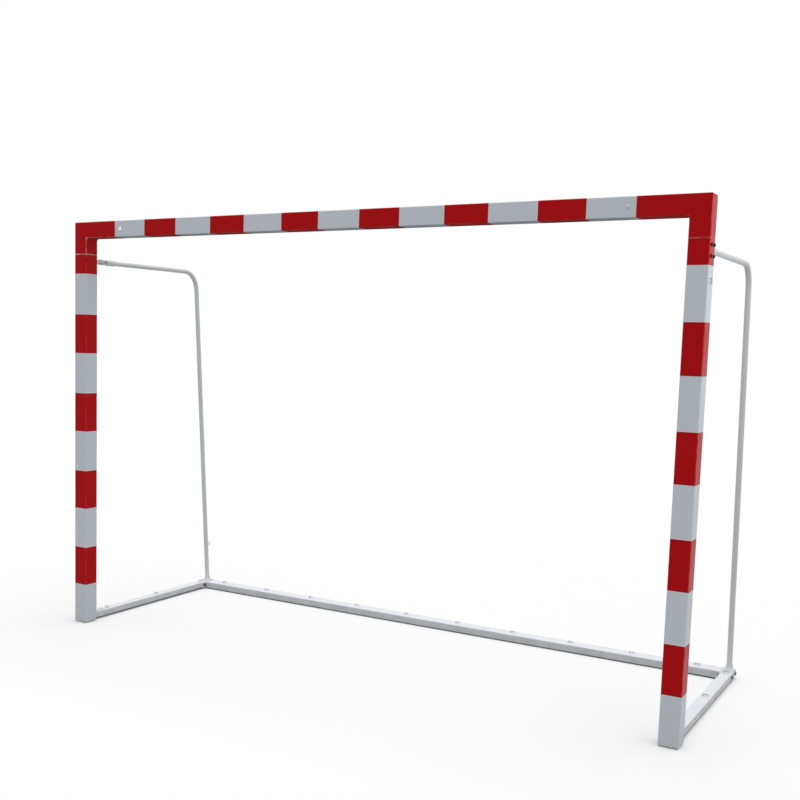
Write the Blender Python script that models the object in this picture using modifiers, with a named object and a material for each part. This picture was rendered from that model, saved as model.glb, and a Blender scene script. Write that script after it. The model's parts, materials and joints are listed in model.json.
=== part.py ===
# Handball goal with striped posts and a steel ground frame.
# Metres, +Z up, +X along the crossbar, +Y towards the back of the goal.
# The goal is the same on both sides of X = 0, and its feet stand on Z = 0.

import math

import bmesh
import bpy
from mathutils import Matrix, Vector

# Clearances
GAP = 0.0003                      # between two pieces that touch or are welded together
PIN_PLAY = 0.0003                 # all round a hinge pin
BOLT_HOLE_PLAY = 0.0010           # all round a corner bolt in an end plate
BOLT_NUT_PLAY = 0.0004            # all round a corner bolt in its welded nut
SWING_CLEARANCE = 0.0015          # between a swinging side bar and its bracket
CUT_PAST = 0.010                  # a cutter runs this far past the faces that it goes through
WELD = 0.00002                    # points nearer than this are one point

# The mouth and its square profile
MOUTH_WIDTH = 3.000
MOUTH_HEIGHT = 2.000
PROFILE = 0.080
PROFILE_WALL = 0.003
PROFILE_EDGE = 0.004              # radius of the profile's long edges

# Corner pieces
CORNER_ARM_REACH = 0.196          # along the crossbar, past the post
CORNER_LEG_REACH = 0.080          # down the post, past the crossbar
CORNER_FILLET = 0.014

# Stripes
POST_RED_BELOW_SEAM = 0.098       # the red of the corner goes on this far down the post
POST_WHITE = 0.2065
POST_STRIPES = 9
BAR_WHITE = 0.2100
BAR_END_WHITE = 0.1920            # the outermost stripes are narrower
BAR_STRIPES = 13

# Sleeves inside the joints
SLEEVE_WALL = 0.003
SLEEVE_EDGE = 0.0025
SLEEVE_IN_CORNER = 0.078
SLEEVE_IN_TUBE = 0.105

# Socket screws of the post sleeves
SCREW_HEAD_R = 0.0062
SCREW_HEAD_H = 0.0060
SCREW_EDGE = 0.0010
SCREW_SHANK_R = 0.0035
SCREW_TIP = 0.0006
SCREW_LENGTH = 0.012
SCREW_SOCKET_FLATS = 0.0055
SCREW_SOCKET_DEPTH = 0.0032
SCREW_PITCH_Y = 0.042
SCREW_PITCH_Z = 0.041
SCREW_UPPER_DROP = 0.023          # below the seam

# Round-headed screws of the crossbar sleeves
BAR_SCREW_HEAD_R = 0.0085
BAR_SCREW_HEAD_H = 0.0024
BAR_SCREW_INSET = 0.032           # from the end of the crossbar

# Caps in the feet of the posts
POST_CAP_FLANGE = 0.012
POST_CAP_CHAMFER = 0.008
POST_CAP_PLUG = 0.030
POST_CAP_FLOOR = 0.008
POST_CAP_WALL = 0.006

# Ground frame; depths are measured from the front faces of the posts
GOAL_DEPTH = 1.100
REAR_BAR_WIDTH = 0.080
REAR_BAR_HEIGHT = 0.035
SIDE_BAR_WIDTH = 0.050
SIDE_BAR_HEIGHT = 0.030
SIDE_BAR_STEP = 0.005             # underside of the side bars above that of the rear bar
BAR_WALL = 0.0025
BAR_EDGE = 0.003
CAP_FLANGE = 0.002
CAP_PLUG = 0.010
CAP_PLUG_EDGE = 0.0015

# Rubber pads under the rear bar
PAD_LENGTH = 0.135
PAD_THICK = 0.0047
PAD_MARGIN = 0.007                # of the bar left bare in front of the pad and behind it
PAD_INSET = 0.012                 # from the end plate

# Hinges of the side frames
HINGE_DEPTH = 0.150
PIN_R = 0.006
PIN_HEAD_OVERHANG = 0.004
PIN_HEAD_H = 0.003
PIN_HEAD_EDGE = 0.001
PIN_TAIL_OVERHANG = 0.002
PIN_TAIL_H = 0.002
TONGUE_THICK = 0.007
TONGUE_WALL = 0.009               # of the tongue beside its pin
TONGUE_FLARE = 0.006
TONGUE_FLARE_LENGTH = 0.012
WASHER_OVERHANG = 0.007
WASHER_THICK = 0.0016
LOWER_EAR_THICK = 0.004
LOWER_EAR_WALL = 0.012            # of an ear beside its pin
LOWER_PLATE_THICK = 0.005
LOWER_PLATE_RISE = 0.026          # above the upper ear

# Net supports
ARM_DROP = 0.110                  # of the arms below the crossbar
TUBE_R = 0.0125
TUBE_WALL = 0.0020
BEND_R = 0.110
LEG_INSET = 0.028                 # foot of the leg in front of the back of the goal
LEG_LEAN = 0.0792                 # depth lost for each metre of height

# Forks that join the net supports to the upper hinges; lengths from the hinge pin
FORK_WALL = 0.0027
FORK_EAR_THICK = 0.0068
FORK_NOSE = 0.018
FORK_SLOT = 0.030
FORK_SHOULDER = 0.034
FORK_SOCKET = 0.040
FORK_BACK = 0.090

# Feet of the net supports
FOOT_MARGIN_X = 0.0035            # of the plate beside the collar
FOOT_MARGIN_Y = 0.0065
FOOT_PLATE_THICK = 0.005
FOOT_PLATE_EDGE = 0.0015
FOOT_FLOOR = 0.003                # left under the end of the tube
COLLAR_WALL = 0.0022
COLLAR_FLARE = 0.0045
COLLAR_HEIGHT = 0.020

# Rear corners
END_PLATE_THICK = 0.004
END_PLATE_FORWARD = 0.028         # in front of the rear bar
BOLT_R = 0.004
BOLT_HEAD_FLATS = 0.0130
BOLT_HEAD_H = 0.0055
BOLT_REAR_INSET = 0.020           # from the back of the goal
BOLT_IN_NUT = 0.0049
NUT_FLATS = 0.0145
NUT_H = 0.0080
UNION_SINK = 0.001                # how deep a part of a union reaches into the other

# Net hooks
HOOK_WIRE_R = 0.0020
HOOK_SPAN = 0.022
HOOK_RISE = 0.009
HOOK_BEND = 0.0035
HOOK_TIP_GAP = 0.0030
HOOK_SINK = 0.0015
REAR_HOOKS = 10
REAR_HOOK_INSET = 0.113           # from the end of the rear bar
CROSSBAR_HOOKS = 8
CROSSBAR_HOOK_INSET = 0.217       # from the end of the crossbar
SIDE_HOOKS = 3
SIDE_HOOK_FRONT = 0.050           # behind the hinge pin
SIDE_HOOK_BACK = 0.095            # in front of the back of the goal
LEG_HOOK_Z = 0.270
LEG_HOOK_REACH = 0.024
LEG_HOOK_SPAN = 0.016
LEG_HOOK_TIP = 0.010
POST_HOOK_DROP = 0.145            # below the seam
POST_HOOK_DEPTH = 0.026
POST_HOOK_SPAN = 0.018

# Steps round a full turn
PIN_SIDES = 20
HOLE_SIDES = 24
TUBE_SIDES = 32
SCREW_SIDES = 14
BAR_SCREW_SIDES = 18
WASHER_SIDES = 22

# Places that several pieces share
OUTER_HALF = MOUTH_WIDTH / 2 + PROFILE
POST_X = MOUTH_WIDTH / 2 + PROFILE / 2
TOP_Z = MOUTH_HEIGHT + PROFILE
BAR_MID_Z = MOUTH_HEIGHT + PROFILE / 2
SEAM_Z = MOUTH_HEIGHT - CORNER_LEG_REACH
CROSSBAR_HALF = MOUTH_WIDTH / 2 - CORNER_ARM_REACH
SLEEVE_SIDE = PROFILE - 2 * PROFILE_WALL - 2 * GAP
SLEEVE_LENGTH = SLEEVE_IN_CORNER + SLEEVE_IN_TUBE
REAR_LOW_Z = PAD_THICK + GAP
REAR_TOP_Z = REAR_LOW_Z + REAR_BAR_HEIGHT
SIDE_LOW_Z = REAR_LOW_Z + SIDE_BAR_STEP
SIDE_TOP_Z = SIDE_LOW_Z + SIDE_BAR_HEIGHT
SIDE_MID_Z = (SIDE_LOW_Z + SIDE_TOP_Z) / 2
SIDE_INNER_X = POST_X - SIDE_BAR_WIDTH / 2
SIDE_OUTER_X = POST_X + SIDE_BAR_WIDTH / 2
REAR_BAR_FRONT = GOAL_DEPTH - REAR_BAR_WIDTH
PLATE_OUTER_X = SIDE_INNER_X - GAP
PLATE_INNER_X = PLATE_OUTER_X - END_PLATE_THICK
REAR_BAR_HALF = PLATE_INNER_X - GAP
BOLT_DEPTHS = (REAR_BAR_FRONT - END_PLATE_FORWARD / 2, GOAL_DEPTH - BOLT_REAR_INSET)
ARM_Z = MOUTH_HEIGHT - ARM_DROP
FORK_R = TUBE_R + GAP + FORK_WALL
WASHER_OFFSET = TONGUE_THICK / 2 + GAP + WASHER_THICK / 2
FORK_SLOT_HALF = WASHER_OFFSET + WASHER_THICK / 2 + GAP
FORK_FLAT = FORK_SLOT_HALF + FORK_EAR_THICK
LEG_FOOT_DEPTH = GOAL_DEPTH - LEG_INSET
LEG_FOOT_Z = SIDE_TOP_Z + GAP + FOOT_FLOOR

# The front faces of the posts lie so that the whole goal is centred on Y = 0
BAR_SCREW_STANDS_OUT = BAR_SCREW_HEAD_H + GAP
FRONT_Y = (BAR_SCREW_STANDS_OUT - GOAL_DEPTH) / 2


def depth(distance):
    """World Y of a point this far behind the front faces of the posts."""
    return FRONT_Y + distance


POST_Y = depth(PROFILE / 2)
HINGE_Y = depth(HINGE_DEPTH)
REAR_MID_Y = depth(GOAL_DEPTH - REAR_BAR_WIDTH / 2)

# A side bar begins where its front corners still pass the bracket as it swings
SWING_RADIUS = HINGE_DEPTH - PROFILE - GAP - LOWER_PLATE_THICK - SWING_CLEARANCE
SIDE_BAR_START = HINGE_DEPTH - math.sqrt(SWING_RADIUS ** 2 - (SIDE_BAR_WIDTH / 2) ** 2)

ALONG_X = Matrix.Rotation(math.radians(90), 4, "Y")
ALONG_Y = Matrix.Rotation(math.radians(-90), 4, "X")
UPRIGHT_PLANE = Matrix.Rotation(math.radians(90), 4, "X")
SIDE_PLANE = Matrix(((0, 0, 1, 0), (1, 0, 0, 0), (0, 1, 0, 0), (0, 0, 0, 1)))
SIDES = ((-1, "left"), (1, "right"))

for old in list(bpy.data.objects):
    bpy.data.objects.remove(old, do_unlink=True)

PARTS = bpy.data.collections.new("handball_goal")
bpy.context.scene.collection.children.link(PARTS)
CUTTERS = bpy.data.collections.new("cutters")
bpy.context.scene.collection.children.link(CUTTERS)
CUTTERS.hide_render = True


# Materials
def make_material(name, colour, roughness, metallic):
    material = bpy.data.materials.new(name)
    material.use_nodes = True
    shader = material.node_tree.nodes["Principled BSDF"]
    shader.inputs["Base Color"].default_value = (*colour, 1.0)
    shader.inputs["Roughness"].default_value = roughness
    shader.inputs["Metallic"].default_value = metallic
    material.diffuse_color = (*colour, 1.0)
    return material


RED = make_material("red_enamel", (0.545, 0.003, 0.006), 0.36, 0.0)
WHITE = make_material("white_enamel", (0.730, 0.785, 0.835), 0.36, 0.0)
FRAME_WHITE = make_material("white_frame_enamel", (0.750, 0.785, 0.820), 0.42, 0.0)
ZINC = make_material("zinc_plated_steel", (0.560, 0.570, 0.580), 0.36, 1.0)
BLACK_STEEL = make_material("blackened_steel", (0.014, 0.014, 0.015), 0.42, 0.9)
NYLON = make_material("black_nylon", (0.012, 0.012, 0.013), 0.48, 0.0)
RUBBER = make_material("black_rubber", (0.016, 0.016, 0.016), 0.80, 0.0)
CAP_PLASTIC = make_material("grey_white_plastic", (0.740, 0.770, 0.800), 0.50, 0.0)


# Helpers that place objects
def add_object(name, data, at=(0.0, 0.0, 0.0), turn=None, collection=PARTS):
    obj = bpy.data.objects.new(name, data)
    collection.objects.link(obj)
    obj.location = at
    if turn is not None:
        obj.rotation_euler = turn.to_euler()
    return obj


def add_cutter(name, data, at=(0.0, 0.0, 0.0), turn=None):
    """An object that is only a Boolean's operand or a guide."""
    obj = add_object(name, data, at, turn, CUTTERS)
    obj.hide_render = True
    obj.display_type = "WIRE"
    return obj


def finish(obj, material, smooth=False):
    obj.data.materials.clear()
    obj.data.materials.append(material)
    if smooth:
        obj.data.shade_smooth()
        obj.data.set_sharp_from_angle(angle=math.radians(32))
    return obj


def boolean(obj, cutter, operation="DIFFERENCE"):
    modifier = obj.modifiers.new(cutter.name, "BOOLEAN")
    modifier.operation = operation
    modifier.solver = "EXACT"
    modifier.object = cutter


def shift(x, y, z):
    return Matrix.Translation((x, y, z))


def spread(first, last, count):
    """Evenly spaced values from first to last."""
    return [first + (last - first) * index / (count - 1) for index in range(count)]


# Helpers that make meshes
def take_mesh(source):
    """The welded mesh that a helper object evaluates to; the helper is removed."""
    bpy.context.view_layer.update()
    graph = bpy.context.evaluated_depsgraph_get()
    mesh = bpy.data.meshes.new_from_object(source.evaluated_get(graph))
    mesh.name = source.name
    mesh.transform(source.matrix_world)
    work = bmesh.new()
    work.from_mesh(mesh)
    bmesh.ops.remove_doubles(work, verts=work.verts, dist=WELD)
    bmesh.ops.recalc_face_normals(work, faces=work.faces)
    work.to_mesh(mesh)
    work.free()
    bpy.data.objects.remove(source, do_unlink=True)
    return mesh


def outline_mesh(name, loops, thickness):
    """A flat outline, with holes, given thickness along its own Z."""
    data = bpy.data.curves.new(name, "CURVE")
    data.dimensions = "2D"
    data.fill_mode = "BOTH"
    data.extrude = thickness / 2
    for loop in loops:
        spline = data.splines.new("POLY")
        spline.points.add(len(loop) - 1)
        for point, place in zip(spline.points, loop):
            point.co = (place[0], place[1], 0.0, 1.0)
        spline.use_cyclic_u = True
    return take_mesh(add_cutter(name, data))


def wire_mesh(name, path, radius, sides=2, caps=True):
    """A round wire, or the skin of a round tube, that follows a path of points."""
    data = bpy.data.curves.new(name, "CURVE")
    data.dimensions = "3D"
    data.bevel_depth = radius
    data.bevel_resolution = sides
    data.use_fill_caps = caps
    spline = data.splines.new("POLY")
    spline.points.add(len(path) - 1)
    for point, place in zip(spline.points, path):
        point.co = (*place, 1.0)
    return take_mesh(add_cutter(name, data))


def turned_mesh(name, profile, steps):
    """Turn a profile of (radius, height) points, from top to bottom, about its own Z."""
    data = bpy.data.meshes.new(name)
    points = [(radius, 0.0, height) for radius, height in profile]
    data.from_pydata(points, [(index, index + 1) for index in range(len(points) - 1)], [])
    source = add_cutter(name, data)
    screw = source.modifiers.new("turn", "SCREW")
    screw.steps = steps
    screw.render_steps = steps
    screw.use_merge_vertices = True
    screw.merge_threshold = WELD
    return take_mesh(source)


def cone_mesh(name, low_r, high_r, length, sides):
    """A cone or a round bar along its own Z, centred on its origin."""
    work = bmesh.new()
    bmesh.ops.create_cone(
        work,
        cap_ends=True,
        segments=sides,
        radius1=low_r,
        radius2=high_r,
        depth=length,
    )
    mesh = bpy.data.meshes.new(name)
    work.to_mesh(mesh)
    work.free()
    return mesh


def rod_mesh(name, radius, length, sides=HOLE_SIDES):
    return cone_mesh(name, radius, radius, length, sides)


def box_mesh(name, low, high):
    work = bmesh.new()
    bmesh.ops.create_cube(work, size=1.0)
    bmesh.ops.scale(work, vec=Vector(high) - Vector(low), verts=work.verts)
    bmesh.ops.translate(work, vec=(Vector(high) + Vector(low)) / 2, verts=work.verts)
    mesh = bpy.data.meshes.new(name)
    work.to_mesh(mesh)
    work.free()
    return mesh


def hexagon_mesh(name, across_flats, low, high):
    """A six-sided bar along its own Z."""
    radius = across_flats / 2 / math.cos(math.pi / 6)
    mesh = rod_mesh(name, radius, high - low, 6)
    mesh.transform(shift(0.0, 0.0, (low + high) / 2))
    return mesh


def arc(centre, radius, start, end, steps):
    """Points of an arc, angles in degrees."""
    points = []
    for angle in spread(math.radians(start), math.radians(end), steps + 1):
        points.append((centre[0] + radius * math.cos(angle), centre[1] + radius * math.sin(angle)))
    return points


def circle(radius, sides):
    return arc((0.0, 0.0), radius, 0, 360, sides)[:-1]


def rounded_rectangle(width, height, radius, steps=3):
    x = width / 2 - radius
    y = height / 2 - radius
    points = arc((x, y), radius, 0, 90, steps)
    points += arc((-x, y), radius, 90, 180, steps)
    points += arc((-x, -y), radius, 180, 270, steps)
    points += arc((x, -y), radius, 270, 360, steps)
    return points


def box_tube_mesh(name, width, height, wall, edge, length):
    """A hollow rectangular tube along its own Z."""
    inner_edge = max(edge - wall, edge / 4)
    outer = rounded_rectangle(width, height, edge)
    inner = rounded_rectangle(width - 2 * wall, height - 2 * wall, inner_edge, 2)
    return outline_mesh(name, [outer, inner], length)


def join_meshes(name, pieces):
    """One mesh from several, each given with the matrix that places it."""
    work = bmesh.new()
    for mesh, matrix in pieces:
        copy = mesh.copy()
        copy.transform(matrix)
        work.from_mesh(copy)
        bpy.data.meshes.remove(copy)
    joined = bpy.data.meshes.new(name)
    work.to_mesh(joined)
    work.free()
    return joined


def bevel_edges(mesh, chosen, offset, segments):
    """Round the edges of a mesh whose two ends and face angle pass a test."""
    work = bmesh.new()
    work.from_mesh(mesh)
    edges = [edge for edge in work.edges if chosen(edge)]
    bmesh.ops.bevel(
        work,
        geom=edges,
        offset=offset,
        segments=segments,
        profile=0.5,
        affect="EDGES",
    )
    work.to_mesh(mesh)
    work.free()


# Stripes
def stripe_borders(start, first, second, count, direction):
    """Where the stripes begin along a line, their widths in turn the first and the second."""
    borders = []
    place = start
    for index in range(count):
        borders.append(place)
        place += direction * (first if index % 2 == 0 else second)
    return borders


def paint_stripes(obj, borders):
    """Cut a tube across its own Z and paint the lengths white and red in turn."""
    work = bmesh.new()
    work.from_mesh(obj.data)
    for border in borders:
        bmesh.ops.bisect_plane(
            work,
            geom=work.verts[:] + work.edges[:] + work.faces[:],
            dist=0.000001,
            plane_co=(0.0, 0.0, border),
            plane_no=(0.0, 0.0, 1.0),
        )
    for face in work.faces:
        height = face.calc_center_median().z
        passed = sum(1 for border in borders if height > border)
        face.material_index = 1 if passed % 2 == 0 else 0
    work.to_mesh(obj.data)
    work.free()
    obj.data.materials.clear()
    obj.data.materials.append(RED)
    obj.data.materials.append(WHITE)


# Net hooks
def hook_path(root, out, along, span=HOOK_SPAN, rise=HOOK_RISE, tip=HOOK_TIP_GAP):
    """Wire path of an open hook: out of the surface, along it, and back towards it."""
    root = Vector(root)
    out = Vector(out)
    along = Vector(along)
    short = HOOK_BEND * (1.0 - math.sqrt(0.5))
    return [
        root - out * HOOK_SINK,
        root + out * (rise - HOOK_BEND),
        root + out * (rise - short) + along * short,
        root + out * rise + along * HOOK_BEND,
        root + out * rise + along * (span - HOOK_BEND),
        root + out * (rise - short) + along * (span - short),
        root + out * (rise - HOOK_BEND) + along * span,
        root + out * tip + along * span,
    ]


def weld_hooks(obj, name, paths):
    """Unite a bar with the net hooks that are welded to it."""
    wires = [(wire_mesh(name, path, HOOK_WIRE_R), Matrix.Identity(4)) for path in paths]
    boolean(obj, add_cutter(name, join_meshes(name, wires)), "UNION")


# The mouth
def build_crossbar():
    reds = BAR_STRIPES // 2
    first_red = BAR_END_WHITE - CROSSBAR_HALF
    red = (-2 * first_red - (reds - 1) * BAR_WHITE) / reds
    borders = stripe_borders(first_red, red, BAR_WHITE, BAR_STRIPES - 1, 1)
    length = 2 * (CROSSBAR_HALF - GAP)
    bar = add_object(
        "crossbar",
        box_tube_mesh("crossbar", PROFILE, PROFILE, PROFILE_WALL, PROFILE_EDGE, length),
        (0.0, POST_Y, BAR_MID_Z),
        ALONG_X,
    )
    paint_stripes(bar, borders)
    reach = CROSSBAR_HALF - CROSSBAR_HOOK_INSET
    paths = []
    for x in spread(-reach, reach, CROSSBAR_HOOKS):
        root = (x - HOOK_SPAN / 2, depth(PROFILE), BAR_MID_Z)
        paths.append(hook_path(root, (0, 1, 0), (1, 0, 0)))
    weld_hooks(bar, "crossbar_hooks", paths)
    return bar


def post_screw_places():
    """Depth and height of the four screws of a post sleeve."""
    places = []
    for drop in (SCREW_UPPER_DROP, SCREW_UPPER_DROP + SCREW_PITCH_Z):
        for offset in (-SCREW_PITCH_Y / 2, SCREW_PITCH_Y / 2):
            places.append((POST_Y + offset, SEAM_Z - drop))
    return places


def build_post_screw_holes(side, label):
    length = SCREW_LENGTH + 2 * CUT_PAST
    hole = rod_mesh("post_screw_hole", SCREW_SHANK_R + GAP, length)
    middle_x = side * (OUTER_HALF + CUT_PAST - length / 2)
    holes = [(hole, shift(middle_x, y, z) @ ALONG_X) for y, z in post_screw_places()]
    return add_cutter(f"{label}_post_screw_holes", join_meshes("post_screw_holes", holes))


def socket_screw_mesh():
    """A round head with a six-sided socket, on a plain shank."""
    profile = [
        (0.0, SCREW_HEAD_H),
        (SCREW_HEAD_R - SCREW_EDGE, SCREW_HEAD_H),
        (SCREW_HEAD_R, SCREW_HEAD_H - SCREW_EDGE),
        (SCREW_HEAD_R, 0.0),
        (SCREW_SHANK_R, 0.0),
        (SCREW_SHANK_R, SCREW_TIP - SCREW_LENGTH),
        (SCREW_SHANK_R - SCREW_TIP, -SCREW_LENGTH),
        (0.0, -SCREW_LENGTH),
    ]
    floor = SCREW_HEAD_H - SCREW_SOCKET_DEPTH
    blank = add_cutter("socket_screw", turned_mesh("screw_blank", profile, SCREW_SIDES))
    socket_data = hexagon_mesh("socket", SCREW_SOCKET_FLATS, floor, SCREW_HEAD_H + CUT_PAST)
    socket = add_cutter("screw_socket", socket_data)
    boolean(blank, socket)
    mesh = take_mesh(blank)
    bpy.data.objects.remove(socket, do_unlink=True)
    return mesh


def build_post_screws(side, label, mesh):
    turn = Matrix.Rotation(math.radians(90) * side, 4, "Y")
    for number, (y, z) in enumerate(post_screw_places(), start=1):
        place = (side * (OUTER_HALF + GAP), y, z)
        screw = add_object(f"{label}_post_screw_{number}", mesh, place, turn)
        finish(screw, BLACK_STEEL, smooth=True)


def build_upright(side, label, screw_holes):
    low_z = POST_CAP_FLANGE + GAP
    high_z = SEAM_Z - GAP
    mid_z = (low_z + high_z) / 2
    red_end_z = SEAM_Z - POST_RED_BELOW_SEAM
    red = (red_end_z - (POST_STRIPES // 2 + 1) * POST_WHITE) / (POST_STRIPES // 2)
    borders = stripe_borders(red_end_z, POST_WHITE, red, POST_STRIPES, -1)
    upright = add_object(
        f"{label}_upright",
        box_tube_mesh("upright", PROFILE, PROFILE, PROFILE_WALL, PROFILE_EDGE, high_z - low_z),
        (side * POST_X, POST_Y, mid_z),
    )
    paint_stripes(upright, [border - mid_z for border in borders])
    root = (side * OUTER_HALF, depth(POST_HOOK_DEPTH), SEAM_Z - POST_HOOK_DROP)
    path = hook_path(root, (side, 0, 0), (0, 0, -1), POST_HOOK_SPAN)
    weld_hooks(upright, f"{label}_post_hook", [path])
    boolean(upright, screw_holes)


def sleeve_mesh():
    return box_tube_mesh(
        "sleeve", SLEEVE_SIDE, SLEEVE_SIDE, SLEEVE_WALL, SLEEVE_EDGE, SLEEVE_LENGTH
    )


def build_post_sleeve(side, label, screw_holes):
    mid_z = SEAM_Z + SLEEVE_IN_CORNER - SLEEVE_LENGTH / 2
    sleeve = add_object(f"{label}_post_sleeve", sleeve_mesh(), (side * POST_X, POST_Y, mid_z))
    finish(sleeve, ZINC)
    boolean(sleeve, screw_holes)


def build_crossbar_sleeve(side, label, crossbar):
    """The sleeve between crossbar and corner, with its screw and their hole."""
    mid_x = side * (CROSSBAR_HALF + SLEEVE_IN_CORNER - SLEEVE_LENGTH / 2)
    sleeve = add_object(
        f"{label}_crossbar_sleeve", sleeve_mesh(), (mid_x, POST_Y, BAR_MID_Z), ALONG_X
    )
    finish(sleeve, ZINC)
    screw_x = side * (CROSSBAR_HALF - BAR_SCREW_INSET)
    length = SCREW_LENGTH + 2 * CUT_PAST
    hole = add_cutter(
        f"{label}_crossbar_screw_hole",
        rod_mesh("crossbar_screw_hole", SCREW_SHANK_R + GAP, length),
        (screw_x, FRONT_Y - CUT_PAST + length / 2, BAR_MID_Z),
        ALONG_Y,
    )
    boolean(sleeve, hole)
    boolean(crossbar, hole)
    profile = [
        (0.0, BAR_SCREW_HEAD_H),
        (BAR_SCREW_HEAD_R * 0.45, BAR_SCREW_HEAD_H * 0.93),
        (BAR_SCREW_HEAD_R * 0.80, BAR_SCREW_HEAD_H * 0.66),
        (BAR_SCREW_HEAD_R, BAR_SCREW_HEAD_H * 0.15),
        (BAR_SCREW_HEAD_R, 0.0),
        (SCREW_SHANK_R, 0.0),
        (SCREW_SHANK_R, -SCREW_LENGTH),
        (0.0, -SCREW_LENGTH),
    ]
    screw = add_object(
        f"{label}_crossbar_screw",
        turned_mesh("crossbar_screw", profile, BAR_SCREW_SIDES),
        (screw_x, FRONT_Y - GAP, BAR_MID_Z),
        UPRIGHT_PLANE,
    )
    finish(screw, ZINC, smooth=True)


def build_corner(side, label):
    """An L of the same profile, hollow, with a fillet inside its angle."""
    arm = PROFILE + CORNER_ARM_REACH
    leg = PROFILE + CORNER_LEG_REACH
    fillet_centre = (PROFILE + CORNER_FILLET, -PROFILE - CORNER_FILLET)
    outline = arc((PROFILE_EDGE, -PROFILE_EDGE), PROFILE_EDGE, 90, 180, 3)
    outline += [(0.0, -leg), (PROFILE, -leg)]
    outline += arc(fillet_centre, CORNER_FILLET, 180, 90, 6)
    outline += [(arm, -PROFILE), (arm, 0.0)]
    wall = PROFILE_WALL
    hollow = [
        (wall, -wall),
        (wall, -leg - CUT_PAST),
        (PROFILE - wall, -leg - CUT_PAST),
        (PROFILE - wall, -PROFILE + wall),
        (arm + CUT_PAST, -PROFILE + wall),
        (arm + CUT_PAST, -wall),
    ]
    outline = [(side * (OUTER_HALF - x), TOP_Z + z) for x, z in outline]
    hollow = [(side * (OUTER_HALF - x), TOP_Z + z) for x, z in hollow]

    def is_long_edge(edge):
        first, second = [vert.co for vert in edge.verts]
        level = abs(first.z - second.z) < WELD
        at_seam = max(abs(first.y - SEAM_Z), abs(second.y - SEAM_Z)) < WELD
        at_bar = max(abs(abs(first.x) - CROSSBAR_HALF), abs(abs(second.x) - CROSSBAR_HALF)) < WELD
        sharp = edge.calc_face_angle(0.0) > 1.0
        return level and sharp and not at_seam and not at_bar

    mesh = outline_mesh("corner", [outline], PROFILE)
    bevel_edges(mesh, is_long_edge, PROFILE_EDGE, 3)
    corner = add_object(f"{label}_corner", mesh, (0.0, POST_Y, 0.0), UPRIGHT_PLANE)
    finish(corner, RED)
    cutter = add_cutter(
        f"{label}_corner_hollow",
        outline_mesh("corner_hollow", [hollow], PROFILE - 2 * wall),
        (0.0, POST_Y, 0.0),
        UPRIGHT_PLANE,
    )
    boolean(corner, cutter)


def build_post_cap(side, label):
    """A plug in the open foot of a post, with a chamfered flange below it."""
    place = (side * POST_X, POST_Y, 0.0)
    flange = outline_mesh(
        "post_cap", [rounded_rectangle(PROFILE, PROFILE, PROFILE_EDGE)], POST_CAP_FLANGE
    )
    flange.transform(shift(0.0, 0.0, POST_CAP_FLANGE / 2))
    cap = add_object(f"{label}_post_cap", flange, place)
    finish(cap, CAP_PLASTIC)

    # A four-sided cone, wider towards the top, leaves the chamfer at the bottom
    height = POST_CAP_FLANGE + 2 * CUT_PAST
    low_half = PROFILE / 2 - POST_CAP_CHAMFER - CUT_PAST
    root_two = math.sqrt(2)
    cone = cone_mesh("post_cap_cone", low_half * root_two, (low_half + height) * root_two, height, 4)
    cone.transform(shift(0.0, 0.0, height / 2 - CUT_PAST) @ Matrix.Rotation(math.pi / 4, 4, "Z"))
    boolean(cap, add_cutter(f"{label}_post_cap_cone", cone, place), "INTERSECT")

    half = SLEEVE_SIDE / 2
    top_z = POST_CAP_FLANGE + POST_CAP_PLUG
    plug = box_mesh("post_cap_plug", (-half, -half, POST_CAP_FLANGE - UNION_SINK), (half, half, top_z))
    boolean(cap, add_cutter(f"{label}_post_cap_plug", plug, place), "UNION")
    half -= POST_CAP_WALL
    hollow = box_mesh("post_cap_hollow", (-half, -half, POST_CAP_FLOOR), (half, half, top_z + CUT_PAST))
    boolean(cap, add_cutter(f"{label}_post_cap_hollow", hollow, place))


# Hinges on the posts
def build_upper_hinge(side, label):
    """The tongue on the back of a post, its two washers and the pin through it."""
    place = (side * POST_X, HINGE_Y, ARM_Z)
    half = PIN_R + TONGUE_WALL
    wide = half + TONGUE_FLARE
    root_y = PROFILE + GAP - HINGE_DEPTH
    neck_y = root_y + TONGUE_FLARE_LENGTH
    outline = [(-wide, root_y), (wide, root_y), (half, neck_y)]
    outline += arc((0.0, 0.0), half, 0, 180, 14)
    outline += [(-half, neck_y)]
    hole = circle(PIN_R + PIN_PLAY, HOLE_SIDES)
    tongue_mesh = outline_mesh("upper_hinge_tongue", [outline, hole], TONGUE_THICK)
    finish(add_object(f"{label}_upper_hinge_tongue", tongue_mesh, place), FRAME_WHITE)

    washer_outline = [circle(PIN_R + WASHER_OVERHANG, WASHER_SIDES), hole]
    washer_mesh = outline_mesh("hinge_washer", washer_outline, WASHER_THICK)
    for word, direction in (("top", 1), ("bottom", -1)):
        washer_place = (place[0], place[1], ARM_Z + direction * WASHER_OFFSET)
        washer = add_object(f"{label}_upper_hinge_{word}_washer", washer_mesh, washer_place)
        finish(washer, NYLON)

    head_r = PIN_R + PIN_HEAD_OVERHANG
    seat = FORK_FLAT + GAP
    profile = [
        (0.0, seat + PIN_HEAD_H),
        (head_r - PIN_HEAD_EDGE, seat + PIN_HEAD_H),
        (head_r, seat + PIN_HEAD_H - PIN_HEAD_EDGE),
        (head_r, seat),
        (PIN_R, seat),
        (PIN_R, -seat),
        (head_r, -seat),
        (head_r, PIN_HEAD_EDGE - seat - PIN_HEAD_H),
        (head_r - PIN_HEAD_EDGE, -seat - PIN_HEAD_H),
        (0.0, -seat - PIN_HEAD_H),
    ]
    pin = add_object(
        f"{label}_upper_hinge_pin", turned_mesh("upper_hinge_pin", profile, PIN_SIDES), place
    )
    finish(pin, ZINC, smooth=True)


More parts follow.
